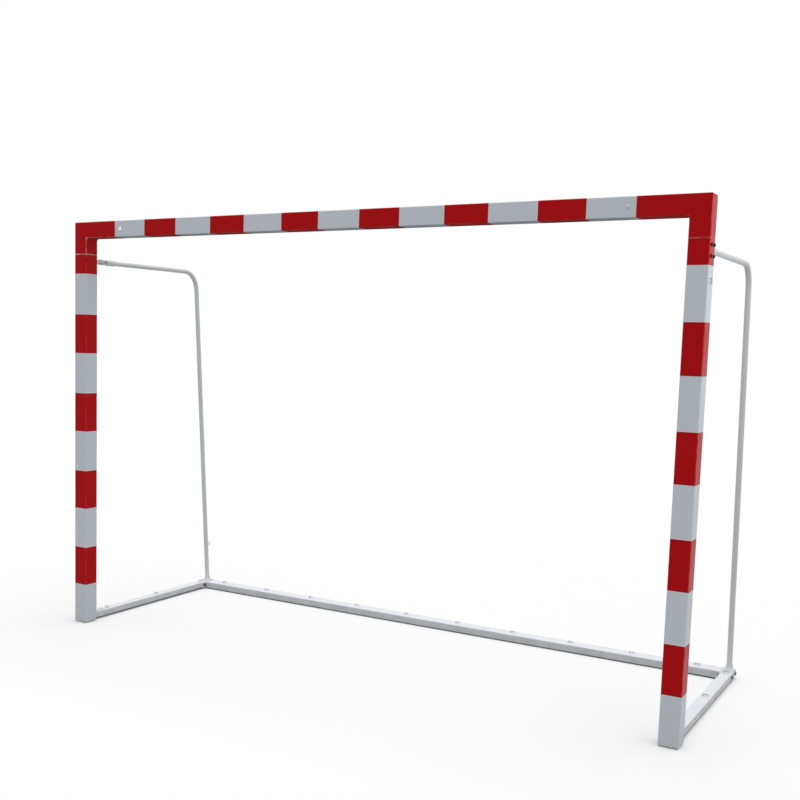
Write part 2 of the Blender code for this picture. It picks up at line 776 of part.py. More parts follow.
def build_lower_hinge(side, label, hinge_bore):
    """The bracket on the foot of a post, with an ear above and below the bar, and its pin."""
    low_z = SIDE_LOW_Z - GAP - LOWER_EAR_THICK
    high_z = SIDE_TOP_Z + GAP
    half = PIN_R + LOWER_EAR_WALL
    front_y = depth(PROFILE + GAP)
    plate_y = front_y + LOWER_PLATE_THICK
    ear_y = HINGE_Y + half
    outline = [
        (front_y, low_z),
        (ear_y, low_z),
        (ear_y, low_z + LOWER_EAR_THICK),
        (plate_y, low_z + LOWER_EAR_THICK),
        (plate_y, high_z),
        (ear_y, high_z),
        (ear_y, high_z + LOWER_EAR_THICK),
        (plate_y, high_z + LOWER_EAR_THICK),
        (plate_y, high_z + LOWER_EAR_THICK + LOWER_PLATE_RISE),
        (front_y, high_z + LOWER_EAR_THICK + LOWER_PLATE_RISE),
    ]
    bracket = add_object(
        f"{label}_lower_hinge_bracket",
        outline_mesh("lower_hinge_bracket", [outline], 2 * half),
        (side * POST_X, 0.0, 0.0),
        SIDE_PLANE,
    )
    finish(bracket, FRAME_WHITE)
    boolean(bracket, hinge_bore)
    head_r = PIN_R + PIN_HEAD_OVERHANG
    tail_r = PIN_R + PIN_TAIL_OVERHANG
    head_z = high_z + LOWER_EAR_THICK + GAP
    tail_z = low_z - GAP
    profile = [
        (0.0, head_z + PIN_HEAD_H),
        (head_r - PIN_HEAD_EDGE, head_z + PIN_HEAD_H),
        (head_r, head_z + PIN_HEAD_H - PIN_HEAD_EDGE),
        (head_r, head_z),
        (PIN_R, head_z),
        (PIN_R, tail_z),
        (tail_r, tail_z),
        (tail_r, tail_z - PIN_TAIL_H),
        (0.0, tail_z - PIN_TAIL_H),
    ]
    pin = add_object(
        f"{label}_lower_hinge_pin",
        turned_mesh("lower_hinge_pin", profile, PIN_SIDES),
        (side * POST_X, HINGE_Y, 0.0),
    )
    finish(pin, ZINC, smooth=True)


# The side frames
def build_side_bar(side, label, hinge_bore, bolt_holes):
    start = SIDE_BAR_START + CAP_FLANGE + GAP
    end = GOAL_DEPTH - CAP_FLANGE - GAP
    bar = add_object(
        f"{label}_side_ground_bar",
        box_tube_mesh(
            "side_ground_bar", SIDE_BAR_WIDTH, SIDE_BAR_HEIGHT, BAR_WALL, BAR_EDGE, end - start
        ),
        (side * POST_X, depth((start + end) / 2), SIDE_MID_Z),
        ALONG_Y,
    )
    finish(bar, FRAME_WHITE)
    first = HINGE_DEPTH + SIDE_HOOK_FRONT
    paths = []
    for hook_depth in spread(first, GOAL_DEPTH - SIDE_HOOK_BACK, SIDE_HOOKS):
        root = (side * POST_X - HOOK_SPAN / 2, depth(hook_depth), SIDE_TOP_Z)
        paths.append(hook_path(root, (0, 0, 1), (1, 0, 0)))
    weld_hooks(bar, f"{label}_side_hooks", paths)
    boolean(bar, hinge_bore)
    boolean(bar, bolt_holes)
    return bar


def build_side_bar_caps(side, label, bolt_holes):
    """Flat end caps with a plug; a plug long enough to meet the rear bolt lets it through."""
    plug_length = CAP_PLUG + UNION_SINK
    flange = outline_mesh(
        "cap_flange", [rounded_rectangle(SIDE_BAR_WIDTH, SIDE_BAR_HEIGHT, BAR_EDGE)], CAP_FLANGE
    )
    inside = 2 * BAR_WALL + 2 * GAP
    plug_outline = rounded_rectangle(
        SIDE_BAR_WIDTH - inside, SIDE_BAR_HEIGHT - inside, CAP_PLUG_EDGE, 2
    )
    plug_mesh = outline_mesh("cap_plug", [plug_outline], plug_length)
    caps = []
    for word, end, inward in (("front", SIDE_BAR_START, 1), ("rear", GOAL_DEPTH, -1)):
        flange_y = depth(end + inward * CAP_FLANGE / 2)
        plug_y = depth(end + inward * (CAP_FLANGE - UNION_SINK + plug_length / 2))
        cap = add_object(
            f"{label}_side_bar_{word}_cap",
            flange.copy(),
            (side * POST_X, flange_y, SIDE_MID_Z),
            ALONG_Y,
        )
        plug = add_cutter(
            f"{label}_{word}_cap_plug", plug_mesh, (side * POST_X, plug_y, SIDE_MID_Z), ALONG_Y
        )
        finish(cap, CAP_PLASTIC)
        boolean(cap, plug, "UNION")
        caps.append(cap)
    boolean(caps[1], bolt_holes)
    return caps


def leg_centre_depth(z):
    """Depth of the middle of a support's leg at this height."""
    return LEG_FOOT_DEPTH - LEG_LEAN * (z - LEG_FOOT_Z)


def build_net_support_tube(side, label):
    """Back from the fork, round the bend, and down to the ground frame."""
    lean = math.atan(LEG_LEAN)
    tangent = BEND_R * math.tan((math.pi / 2 - lean) / 2)
    bend_centre = (leg_centre_depth(ARM_Z) - tangent, ARM_Z - BEND_R)
    path = [(0.0, FORK_SOCKET + GAP, ARM_Z)]
    for y, z in arc(bend_centre, BEND_R, 90, math.degrees(lean), 10):
        path.append((0.0, y - HINGE_DEPTH, z))
    path.append((0.0, LEG_FOOT_DEPTH - HINGE_DEPTH, LEG_FOOT_Z + GAP))
    mesh = wire_mesh("net_support_tube", path, TUBE_R, 6, caps=False)
    tube = add_object(f"{label}_net_support_tube", mesh, (side * POST_X, HINGE_Y, 0.0))
    finish(tube, FRAME_WHITE, smooth=True)
    shell = tube.modifiers.new("wall", "SOLIDIFY")
    shell.thickness = TUBE_WALL
    shell.offset = -1.0
    root = (side * POST_X, depth(leg_centre_depth(LEG_HOOK_Z) + TUBE_R), LEG_HOOK_Z)
    tip = LEG_HOOK_REACH - LEG_HOOK_TIP
    path = hook_path(root, (0, 1, 0), (0, 0, -1), LEG_HOOK_SPAN, LEG_HOOK_REACH, tip)
    weld_hooks(tube, f"{label}_leg_hook", [path])
    return tube


def build_hinge_fork(side, label):
    """A round bar, slotted for the tongue, flat above and below, and bored for the tube."""
    x = side * POST_X
    fork = add_object(
        f"{label}_hinge_fork",
        rod_mesh("hinge_fork", FORK_R, FORK_NOSE + FORK_BACK, TUBE_SIDES),
        (x, HINGE_Y + (FORK_BACK - FORK_NOSE) / 2, ARM_Z),
        ALONG_Y,
    )
    finish(fork, FRAME_WHITE, smooth=True)
    wide = FORK_R + CUT_PAST
    front = -FORK_NOSE - CUT_PAST
    socket_length = FORK_BACK - FORK_SOCKET + CUT_PAST
    socket = rod_mesh("socket", TUBE_R + GAP, socket_length, TUBE_SIDES)
    pieces = [
        box_mesh("slot", (-wide, front, -FORK_SLOT_HALF), (wide, FORK_SLOT, FORK_SLOT_HALF)),
        box_mesh("upper_flat", (-wide, front, FORK_FLAT), (wide, FORK_SHOULDER, wide)),
        box_mesh("lower_flat", (-wide, front, -wide), (wide, FORK_SHOULDER, -FORK_FLAT)),
    ]
    cuts = [(mesh, Matrix.Identity(4)) for mesh in pieces]
    cuts.append((socket, shift(0.0, FORK_SOCKET + socket_length / 2, 0.0) @ ALONG_Y))
    place = (x, HINGE_Y, ARM_Z)
    boolean(fork, add_cutter(f"{label}_fork_cuts", join_meshes("fork_cuts", cuts), place))
    bore = rod_mesh("fork_bore", PIN_R + PIN_PLAY, 2 * wide)
    boolean(fork, add_cutter(f"{label}_fork_bore", bore, place))
    return fork


def build_support_foot(side, label):
    """A plate on the side bar with a flared collar round the foot of the tube."""
    top_r = TUBE_R + GAP + COLLAR_WALL
    low_r = top_r + COLLAR_FLARE
    half_x = low_r + FOOT_MARGIN_X
    half_y = low_r + FOOT_MARGIN_Y
    place = (side * POST_X, depth(LEG_FOOT_DEPTH), SIDE_TOP_Z + GAP)
    plate = box_mesh("support_foot", (-half_x, -half_y, 0.0), (half_x, half_y, FOOT_PLATE_THICK))
    foot = add_object(f"{label}_support_foot", plate, place)
    finish(foot, FRAME_WHITE, smooth=True)
    rounding = foot.modifiers.new("edges", "BEVEL")
    rounding.width = FOOT_PLATE_EDGE
    rounding.segments = 2
    rounding.limit_method = "ANGLE"
    profile = [
        (0.0, FOOT_PLATE_THICK + COLLAR_HEIGHT),
        (top_r, FOOT_PLATE_THICK + COLLAR_HEIGHT),
        (top_r + COLLAR_FLARE * 0.22, FOOT_PLATE_THICK + COLLAR_HEIGHT * 0.45),
        (top_r + COLLAR_FLARE * 0.78, FOOT_PLATE_THICK + COLLAR_HEIGHT * 0.12),
        (low_r, FOOT_PLATE_THICK),
        (low_r, FOOT_PLATE_THICK / 2),
        (0.0, FOOT_PLATE_THICK / 2),
    ]
    collar = turned_mesh("foot_collar", profile, TUBE_SIDES)
    boolean(foot, add_cutter(f"{label}_foot_collar", collar, place), "UNION")
    length = COLLAR_HEIGHT + FOOT_PLATE_THICK + CUT_PAST
    bore = rod_mesh("foot_bore", TUBE_R + GAP, length, TUBE_SIDES)
    bore.transform(shift(0.0, 0.0, length / 2))
    bore_place = (place[0], place[1], LEG_FOOT_Z)
    bore_turn = Matrix.Rotation(math.atan(LEG_LEAN), 4, "X")
    boolean(foot, add_cutter(f"{label}_foot_bore", bore, bore_place, bore_turn))
    return foot


def build_bolt_holes(side, label):
    hole = rod_mesh("bolt_hole", BOLT_R + GAP, SIDE_BAR_WIDTH + 2 * CUT_PAST)
    holes = []
    for bolt_depth in BOLT_DEPTHS:
        holes.append((hole, shift(side * POST_X, depth(bolt_depth), SIDE_MID_Z) @ ALONG_X))
    return add_cutter(f"{label}_bolt_holes", join_meshes("bolt_holes", holes))


def build_corner_bolts(side, label):
    """Bolts put in from the outer side of the side bar, into the nuts of the end plate."""
    head_x = SIDE_OUTER_X + GAP
    tip_x = PLATE_INNER_X - BOLT_IN_NUT
    length = head_x - tip_x + UNION_SINK
    shank = rod_mesh("bolt_shank", BOLT_R, length)
    head = hexagon_mesh("corner_bolt", BOLT_HEAD_FLATS, 0.0, BOLT_HEAD_H)
    turn = Matrix.Rotation(math.radians(90) * side, 4, "Y")
    bolts = []
    for word, bolt_depth in zip(("front", "rear"), BOLT_DEPTHS):
        y = depth(bolt_depth)
        name = f"{label}_corner_bolt_{word}"
        bolt = add_object(name, head.copy(), (side * head_x, y, SIDE_MID_Z), turn)
        finish(bolt, BLACK_STEEL)
        middle_x = side * (tip_x + length / 2)
        shank_place = (middle_x, y, SIDE_MID_Z)
        boolean(bolt, add_cutter(f"{name}_shank", shank, shank_place, ALONG_X), "UNION")
        bolts.append(bolt)
    return bolts


def hang_on_hinge(side, label, pieces):
    """Parent the pieces of a side frame to an empty on the axis of its hinges."""
    hinge = bpy.data.objects.new(f"{label}_side_frame_hinge", None)
    hinge.empty_display_size = 0.1
    PARTS.objects.link(hinge)
    hinge.location = (side * POST_X, HINGE_Y, 0.0)
    bpy.context.view_layer.update()
    for piece in pieces:
        piece.parent = hinge
        piece.matrix_parent_inverse = hinge.matrix_world.inverted()


# The rear bar
def build_rear_bar():
    bar = add_object(
        "rear_ground_bar",
        box_tube_mesh(
            "rear_ground_bar", REAR_BAR_HEIGHT, REAR_BAR_WIDTH, BAR_WALL, BAR_EDGE, 2 * REAR_BAR_HALF
        ),
        (0.0, REAR_MID_Y, (REAR_LOW_Z + REAR_TOP_Z) / 2),
        ALONG_X,
    )
    finish(bar, FRAME_WHITE)
    reach = REAR_BAR_HALF - REAR_HOOK_INSET
    paths = []
    for x in spread(-reach, reach, REAR_HOOKS):
        root = (x - HOOK_SPAN / 2, REAR_MID_Y, REAR_TOP_Z)
        paths.append(hook_path(root, (0, 0, 1), (1, 0, 0)))
    weld_hooks(bar, "rear_hooks", paths)


def build_end_plate(side, label):
    """The end plate of the rear bar, with the two nuts welded to its inner face."""
    plate_mesh = box_mesh(
        "rear_bar_end_plate",
        (-END_PLATE_THICK / 2, depth(REAR_BAR_FRONT - END_PLATE_FORWARD), REAR_LOW_Z),
        (END_PLATE_THICK / 2, depth(GOAL_DEPTH), max(REAR_TOP_Z, SIDE_TOP_Z)),
    )
    middle_x = side * (PLATE_OUTER_X + PLATE_INNER_X) / 2
    plate = add_object(f"{label}_rear_bar_end_plate", plate_mesh, (middle_x, 0.0, 0.0))
    finish(plate, FRAME_WHITE)

    # Local Z of the nuts and of their stepped bores points out of the goal
    nut = hexagon_mesh("corner_nut", NUT_FLATS, -END_PLATE_THICK - NUT_H, UNION_SINK - END_PLATE_THICK)
    wide = BOLT_R + BOLT_HOLE_PLAY
    narrow = BOLT_R + BOLT_NUT_PLAY
    bore_profile = [
        (0.0, CUT_PAST),
        (wide, CUT_PAST),
        (wide, -END_PLATE_THICK),
        (narrow, -END_PLATE_THICK),
        (narrow, -END_PLATE_THICK - NUT_H - CUT_PAST),
        (0.0, -END_PLATE_THICK - NUT_H - CUT_PAST),
    ]
    bore = turned_mesh("nut_bore", bore_profile, HOLE_SIDES)
    turn = Matrix.Rotation(math.radians(90) * side, 4, "Y")
    places = []
    for bolt_depth in BOLT_DEPTHS:
        places.append(shift(side * PLATE_OUTER_X, depth(bolt_depth), SIDE_MID_Z) @ turn)
    nuts = join_meshes("corner_nuts", [(nut, place) for place in places])
    bores = join_meshes("nut_bores", [(bore, place) for place in places])
    boolean(plate, add_cutter(f"{label}_corner_nuts", nuts), "UNION")
    boolean(plate, add_cutter(f"{label}_nut_bores", bores))


def build_rubber_pad(side, label):
    half_y = REAR_BAR_WIDTH / 2 - PAD_MARGIN
    pad_mesh = box_mesh(
        "rubber_pad", (-PAD_LENGTH / 2, -half_y, 0.0), (PAD_LENGTH / 2, half_y, PAD_THICK)
    )
    middle_x = side * (PLATE_INNER_X - PAD_INSET - PAD_LENGTH / 2)
    finish(add_object(f"{label}_rubber_pad", pad_mesh, (middle_x, REAR_MID_Y, 0.0)), RUBBER)


def build_side(side, label, crossbar, screw_mesh):
    """Everything on one side of the goal."""
    screw_holes = build_post_screw_holes(side, label)
    build_upright(side, label, screw_holes)
    build_post_screws(side, label, screw_mesh)
    build_post_sleeve(side, label, screw_holes)
    build_crossbar_sleeve(side, label, crossbar)
    build_corner(side, label)
    build_post_cap(side, label)

    bore_length = SIDE_TOP_Z + LOWER_EAR_THICK + 2 * CUT_PAST
    hinge_bore = add_cutter(
        f"{label}_hinge_bore",
        rod_mesh("hinge_bore", PIN_R + PIN_PLAY, bore_length),
        (side * POST_X, HINGE_Y, bore_length / 2 - CUT_PAST / 2),
    )
    build_upper_hinge(side, label)
    build_lower_hinge(side, label, hinge_bore)

    bolt_holes = build_bolt_holes(side, label)
    pieces = [
        build_side_bar(side, label, hinge_bore, bolt_holes),
        *build_side_bar_caps(side, label, bolt_holes),
        build_net_support_tube(side, label),
        build_hinge_fork(side, label),
        build_support_foot(side, label),
        *build_corner_bolts(side, label),
    ]
    hang_on_hinge(side, label, pieces)
    build_end_plate(side, label)
    build_rubber_pad(side, label)


CROSSBAR = build_crossbar()
build_rear_bar()
SOCKET_SCREW = socket_screw_mesh()
for SIDE, LABEL in SIDES:
    build_side(SIDE, LABEL, CROSSBAR, SOCKET_SCREW)
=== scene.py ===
# %% [markdown]
# # Dressing a handball goal
#
# The goal is already built to size as 54 plain solids on three bodies: the standing frame and the
# two side frames that swing on the posts. This lesson gives them the looks of the real thing: finer
# shapes, enamel, zinc, rubber, weld beads and a little dust. Nothing here moves or resizes the goal.

import json
import math

import bmesh
import bpy
from mathutils import Matrix, Vector


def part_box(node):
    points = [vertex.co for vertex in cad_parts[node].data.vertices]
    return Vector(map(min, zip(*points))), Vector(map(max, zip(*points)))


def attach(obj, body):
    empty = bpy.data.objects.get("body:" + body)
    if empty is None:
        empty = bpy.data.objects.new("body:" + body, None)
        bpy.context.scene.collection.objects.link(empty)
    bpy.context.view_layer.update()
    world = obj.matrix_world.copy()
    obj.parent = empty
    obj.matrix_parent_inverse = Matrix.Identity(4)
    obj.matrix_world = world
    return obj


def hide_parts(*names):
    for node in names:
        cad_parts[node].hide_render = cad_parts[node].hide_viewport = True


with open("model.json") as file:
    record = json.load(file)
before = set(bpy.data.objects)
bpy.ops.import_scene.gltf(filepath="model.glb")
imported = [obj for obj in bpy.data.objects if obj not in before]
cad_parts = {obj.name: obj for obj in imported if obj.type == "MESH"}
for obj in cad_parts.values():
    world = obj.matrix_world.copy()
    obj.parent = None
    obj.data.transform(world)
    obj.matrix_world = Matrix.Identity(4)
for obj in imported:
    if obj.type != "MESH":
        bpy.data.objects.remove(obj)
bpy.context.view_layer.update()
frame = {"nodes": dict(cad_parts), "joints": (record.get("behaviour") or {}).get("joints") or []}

# %% [markdown]
# ## Measures
#
# Places come from the frame: a node's box gives its corners, and the joints give the hinge axes.
# Sizes that no box tells, such as a rounding, are the ones that the goal was built with. The rear
# bar's height is one of them, because its hooks are in its box.

# %% Measures taken from the frame
STANDING = "standing_frame"
SIDES = ((-1, "left"), (1, "right"))
GAP = 0.0003
corner_low, corner_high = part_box("right_corner")
PROFILE = corner_high.y - corner_low.y
FRONT_Y = corner_low.y
BACK_Y = corner_high.y
POST_Y = (FRONT_Y + BACK_Y) / 2
OUTER_X = corner_high.x
POST_X = OUTER_X - PROFILE / 2
TOP_Z = corner_high.z
BAR_Z = TOP_Z - PROFILE / 2
SEAM_Z = corner_low.z
BAR_HALF = corner_low.x
POST_FOOT_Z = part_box("right_upright")[0].z

tongue_low, tongue_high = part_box("right_upper_hinge_tongue")
HINGE_Y = frame["joints"][0]["pos_m"][1]
ARM_Z = (tongue_low.z + tongue_high.z) / 2
TONGUE_HALF_THICK = (tongue_high.z - tongue_low.z) / 2

cap_low, cap_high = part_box("right_side_bar_rear_cap")
SIDE_LOW_Z = cap_low.z
SIDE_TOP_Z = cap_high.z
SIDE_Z = (SIDE_LOW_Z + SIDE_TOP_Z) / 2
SIDE_WIDTH = cap_high.x - cap_low.x
SIDE_HEIGHT = SIDE_TOP_Z - SIDE_LOW_Z
SIDE_FRONT_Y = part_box("right_side_bar_front_cap")[0].y
GOAL_BACK_Y = cap_high.y

rear_low, rear_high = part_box("rear_ground_bar")
plate_low, plate_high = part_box("right_rear_bar_end_plate")
REAR_WIDTH = rear_high.y - rear_low.y
REAR_MID_Y = (rear_low.y + rear_high.y) / 2
REAR_LOW_Z = plate_low.z
REAR_HEIGHT = 0.035
REAR_TOP_Z = REAR_LOW_Z + REAR_HEIGHT
REAR_Z = REAR_LOW_Z + REAR_HEIGHT / 2
print("profile", round(PROFILE, 4), "hinge", round(HINGE_Y, 5), "arms", round(ARM_Z, 4))

# %% [markdown]
# ## Camera
#
# The camera was matched to a photo of the goal: about 175 places on it, along the edges of the bars
# and on the borders of the stripes, were lined up with the model. It stands in front of the goal and
# to the right of it. A small lens shift keeps the goal where the picture has it.

# %% Camera
CAMERA_PLACE = (2.51658, -4.61551, 1.50849)
CAMERA_TURN = 31.327
CAMERA_TILT = -6.224
CAMERA_ROLL = 1.520
CAMERA_LENS = 48.577
CAMERA_SHIFT = 0.075


def add_object(name, data):
    obj = bpy.data.objects.new(name, data)
    bpy.context.scene.collection.objects.link(obj)
    return obj


camera_data = bpy.data.cameras.new("camera")
camera_data.lens = CAMERA_LENS
camera_data.shift_x = CAMERA_SHIFT
camera_data.shift_y = CAMERA_SHIFT
camera = add_object("camera", camera_data)
camera.matrix_world = (
    Matrix.Translation(CAMERA_PLACE)
    @ Matrix.Rotation(math.radians(CAMERA_TURN), 4, "Z")
    @ Matrix.Rotation(math.radians(90 + CAMERA_TILT), 4, "X")
    @ Matrix.Rotation(math.radians(CAMERA_ROLL), 4, "Z")
)
bpy.context.scene.camera = camera
bpy.context.scene.view_settings.view_transform = "Standard"
print("camera at", CAMERA_PLACE, "lens", CAMERA_LENS, "mm")

# %% [markdown]
# ## Node tools
#
# Materials are built from nodes, and a few short helpers keep that readable. Each adds a node to the
# tree that its inputs come from, wires or sets the inputs, and gives the output. Noise is measured
# in lumps per metre.

# %% Node tools
def add_node(tree, kind, **settings):
    node = tree.nodes.new(kind)
    for setting, value in settings.items():
        setattr(node, setting, value)
    return node


def feed(socket, value):
    """Wire a socket to another one, or set it to a plain value."""
    if isinstance(value, bpy.types.NodeSocket):
        socket.id_data.links.new(value, socket)
    else:
        socket.default_value = value


def wire(node, **values):
    """Feed a node's inputs by name, with underscores for the spaces in a name."""
    for name, value in values.items():
        feed(node.inputs[name.replace("_", " ")], value)


def calc(operation, *values, clamp=False):
    tree = next(value.id_data for value in values if isinstance(value, bpy.types.NodeSocket))
    node = add_node(tree, "ShaderNodeMath", operation=operation, use_clamp=clamp)
    for socket, value in zip(node.inputs, values):
        feed(socket, value)
    return node.outputs[0]


def product(first, *others):
    for other in others:
        first = calc("MULTIPLY", first, other)
    return first


def minus(first, second):
    return calc("SUBTRACT", first, second)


def off(value, mark):
    """How far a value is from a mark, either way."""
    return calc("ABSOLUTE", minus(value, mark))


def ramp(value, low, high, to_low=0.0, to_high=1.0):
    """Smooth step from one level to another as a value passes from low to high."""
    node = add_node(value.id_data, "ShaderNodeMapRange", interpolation_type="SMOOTHSTEP")
    wire(node, Value=value, From_Min=low, From_Max=high, To_Min=to_low, To_Max=to_high)
    return node.outputs["Result"]


def noise(vector, scale, detail=2.0, roughness=0.5):
    node = add_node(vector.id_data, "ShaderNodeTexNoise")
    wire(node, Vector=vector, Scale=scale, Detail=detail, Roughness=roughness)
    return node.outputs["Fac"]


# %% [markdown]
# Every pattern hangs on where a point is on the goal at rest, so it stays put when a side frame
# swings. Colours are laid over each other like coats of paint, each with a mask that says where it
# shows. Masks that several finishes share are node groups: built once, then placed in each material
# with its own values.

# %% Places, colours and groups
def goal_place(tree):
    return add_node(tree, "ShaderNodeTexCoord").outputs["Object"]


def split(vector):
    node = add_node(vector.id_data, "ShaderNodeSeparateXYZ")
    wire(node, Vector=vector)
    return node.outputs


def looks_up(tree):
    """1 on a top face, 0 on an upright one, -1 on an underside."""
    return split(add_node(tree, "ShaderNodeNewGeometry").outputs["Normal"])["Z"]


def stretch(vector, scale, turn=(0.0, 0.0, 0.0)):
    node = add_node(vector.id_data, "ShaderNodeMapping")
    wire(node, Vector=vector, Scale=scale, Rotation=turn)
    return node.outputs["Vector"]


def mix_colour(mask, first, second):
    node = add_node(mask.id_data, "ShaderNodeMix", data_type="RGBA")
    wire(node, Factor=mask)
    for socket, colour in zip(node.inputs[6:8], (first, second)):
        feed(socket, (*colour, 1.0) if isinstance(colour, tuple) else colour)
    return node.outputs[2]


def lay_over(colour, *coats):
    """Coats of (mask, colour) laid over a colour, one after the other."""
    for mask, coat in coats:
        colour = mix_colour(mask, colour, coat)
    return colour


def build_up(start, *terms):
    """A value raised by masks, each times its own amount, and kept between 0 and 1."""
    for mask, amount in terms:
        start = calc("MULTIPLY_ADD", mask, amount, start, clamp=True)
    return start


def new_group(name, results, **inputs):
    """A shader node group; gives its tree, its inputs and the node that takes its results."""
    tree = bpy.data.node_groups.new(name, "ShaderNodeTree")
    for label, default in inputs.items():
        socket = tree.interface.new_socket(name=label.replace("_", " "), in_out="INPUT",
                                           socket_type="NodeSocketFloat")
        socket.default_value = default
    for label in results:
        tree.interface.new_socket(name=label, in_out="OUTPUT", socket_type="NodeSocketFloat")
    print("group:", name, list(inputs), "gives", results)
    return tree, add_node(tree, "NodeGroupInput").outputs, add_node(tree, "NodeGroupOutput")


def use_group(tree, group, **values):
    node = add_node(tree, "ShaderNodeGroup", node_tree=group)
    wire(node, **values)
    return node.outputs


# %% [markdown]
# ## Stage and light
#
# The goal stands on a plain pale floor in an even white room. Both look white to the eye and in
# gloss, but give less light than they show, so that pale enamel keeps its tone. The floor is a wide
# flat disc, so no edge of it can come into any view.

# %% World and floor
WORLD_FILL = 0.54
FLOOR_SEEN = (0.985, 0.985, 0.985)
FLOOR_BOUNCE = (0.35, 0.355, 0.36)
FLOOR_RADIUS = 60.0


def seen_directly(tree):
    """1 for what the eye sees, itself or in gloss or glass; 0 for light on its way to a surface."""
    path = add_node(tree, "ShaderNodeLightPath").outputs
    seen = calc("MAXIMUM", path["Is Camera Ray"], path["Is Glossy Ray"])
    return calc("MAXIMUM", seen, path["Is Transmission Ray"])


world = bpy.data.worlds.new("studio")
bpy.context.scene.world = world
world.use_nodes = True
level = calc("MULTIPLY_ADD", seen_directly(world.node_tree), 1.0 - WORLD_FILL, WORLD_FILL)
wire(world.node_tree.nodes["Background"], Color=(1.0, 1.0, 1.0, 1.0), Strength=level)

floor_material = bpy.data.materials.new("floor")
floor_material.use_nodes = True
tree = floor_material.node_tree
wire(tree.nodes["Principled BSDF"], Roughness=1.0, Specular_IOR_Level=0.0,
     Base_Color=mix_colour(seen_directly(tree), FLOOR_BOUNCE, FLOOR_SEEN))

bm = bmesh.new()
bmesh.ops.create_circle(bm, cap_ends=True, segments=96, radius=FLOOR_RADIUS)
floor_mesh = bpy.data.meshes.new("floor")
bm.to_mesh(floor_mesh)
bm.free()
floor_mesh.materials.append(floor_material)
add_object("floor", floor_mesh)
print("floor:", FLOOR_RADIUS, "m, fill", WORLD_FILL)

# %% [markdown]
# A wide sun almost overhead is the soft light of a studio ceiling: top faces come out about twice as
# bright as upright ones. A weak softbox on the right lifts the outer side of the right post.

# %% Lamps
SUN_STRENGTH = 1.50
SUN_WIDTH = math.radians(55)
SOFTBOX_POWER = 2.0
SOFTBOX_SIDE = 0.7
SOFTBOX_SPREAD = math.radians(100)
SOFTBOX_COLOUR = (0.92, 0.96, 1.0)


def add_lamp(name, kind, place, target, **settings):
    lamp = bpy.data.lights.new(name, kind)
    for setting, value in settings.items():
        setattr(lamp, setting, value)
    aim = (Vector(target) - Vector(place)).to_track_quat("-Z", "Y")
    add_object(name, lamp).matrix_world = Matrix.Translation(place) @ aim.to_matrix().to_4x4()
    print("lamp:", name, kind, lamp.energy)


add_lamp("ceiling", "SUN", (1.0, -0.5, 10.0), (0.0, 0.0, 0.0), energy=SUN_STRENGTH, angle=SUN_WIDTH)
add_lamp("softbox", "AREA", (3.0, -0.4, 2.05), (1.58, -0.45, 2.0), energy=SOFTBOX_POWER,
         shape="RECTANGLE", size=SOFTBOX_SIDE, size_y=SOFTBOX_SIDE, spread=SOFTBOX_SPREAD,
         color=SOFTBOX_COLOUR)

# %% [markdown]
# ## Stripes
#
# The mouth is white enamel with red bands that were masked with tape. The group needs a coordinate
# along the profile, the place of the first white band, and two lengths. A little noise makes the
# tape's edge less than perfect. It also gives the ridge of paint along each border, the pink veil
# where red crept under the tape, and the dark lip where the red lies thickest.

# %% Stripe group
BORDER_WOBBLE = 0.0005
BORDER_SOFT = 0.0003
RIDGE_WIDTH = 0.0012
VEIL_FROM, VEIL_TO = -0.0060, -0.0015
LIP_FROM, LIP_TO = 0.0005, 0.0040
stripe_group, inputs, results = new_group(
    "stripe_bands", ("Red", "Ridge", "Veil", "Lip"), Along=0.0, First_White=0.0, White_Length=0.2,
    Red_Length=0.2)
wander = minus(noise(goal_place(stripe_group), 60.0, 3.0), 0.5)
along = calc("MULTIPLY_ADD", wander, BORDER_WOBBLE * 2, inputs["Along"])
pitch = calc("ADD", inputs["White Length"], inputs["Red Length"])
step = calc("FLOORED_MODULO", minus(along, inputs["First White"]), pitch)
past_white = minus(step, inputs["White Length"])
to_end = minus(pitch, step)
from_border = calc("MINIMUM", calc("ABSOLUTE", past_white), calc("MINIMUM", step, to_end))
inside_red = calc("MINIMUM", past_white, to_end)
wire(results,
     Red=ramp(inside_red, -BORDER_SOFT, BORDER_SOFT),
     Ridge=ramp(from_border, 0.0, RIDGE_WIDTH, 1.0, 0.0),
     Veil=ramp(inside_red, VEIL_FROM, VEIL_TO),
     Lip=ramp(inside_red, LIP_FROM, LIP_TO, 1.0, 0.0))

# %% [markdown]
# ## Enamel, wear, dust and grain
#
# Sprayed enamel is never quite flat: it has a faint orange peel and fine hair scratches from wiping.
# The peel is noise as fine as the drops of paint. The hairs are noise that is stretched until only
# thin lines stay above a level, and they come in patches.

# %% Orange peel and hair scratches
HAIR_TURN = (0.5, 0.7, 0.3)
HAIR_STRETCH = (9.0, 9.0, 420.0)
sprayed_group, inputs, results = new_group(
    "sprayed_surface", ("Height", "Roughness Shift", "Scratch"), Peel_Size=0.003, Scratches=0.5)
place = goal_place(sprayed_group)
peel = noise(place, calc("DIVIDE", 1.0, inputs["Peel Size"]), 1.5, 0.4)
hairs = ramp(noise(stretch(place, HAIR_STRETCH, HAIR_TURN), 1.0, 3.0, 0.6), 0.66, 0.74)
patches = ramp(noise(place, 4.3, 2.0), 0.45, 0.62)
scratch = product(hairs, patches, inputs["Scratches"])
shift_broad = calc("MULTIPLY_ADD", noise(place, 9.0, 3.0), 0.16, -0.08)
wire(results,
     Height=calc("MULTIPLY_ADD", scratch, -0.4, peel),
     Roughness_Shift=calc("MULTIPLY_ADD", scratch, 0.16, shift_broad),
     Scratch=scratch)

# %% [markdown]
# The long edges rub against floors and vans, so they fade and chip. A long edge is found from
# coordinates: close to it, a point is far from the middle of the section both ways. That works on
# rounded edges, where a curvature trick would need many more faces.

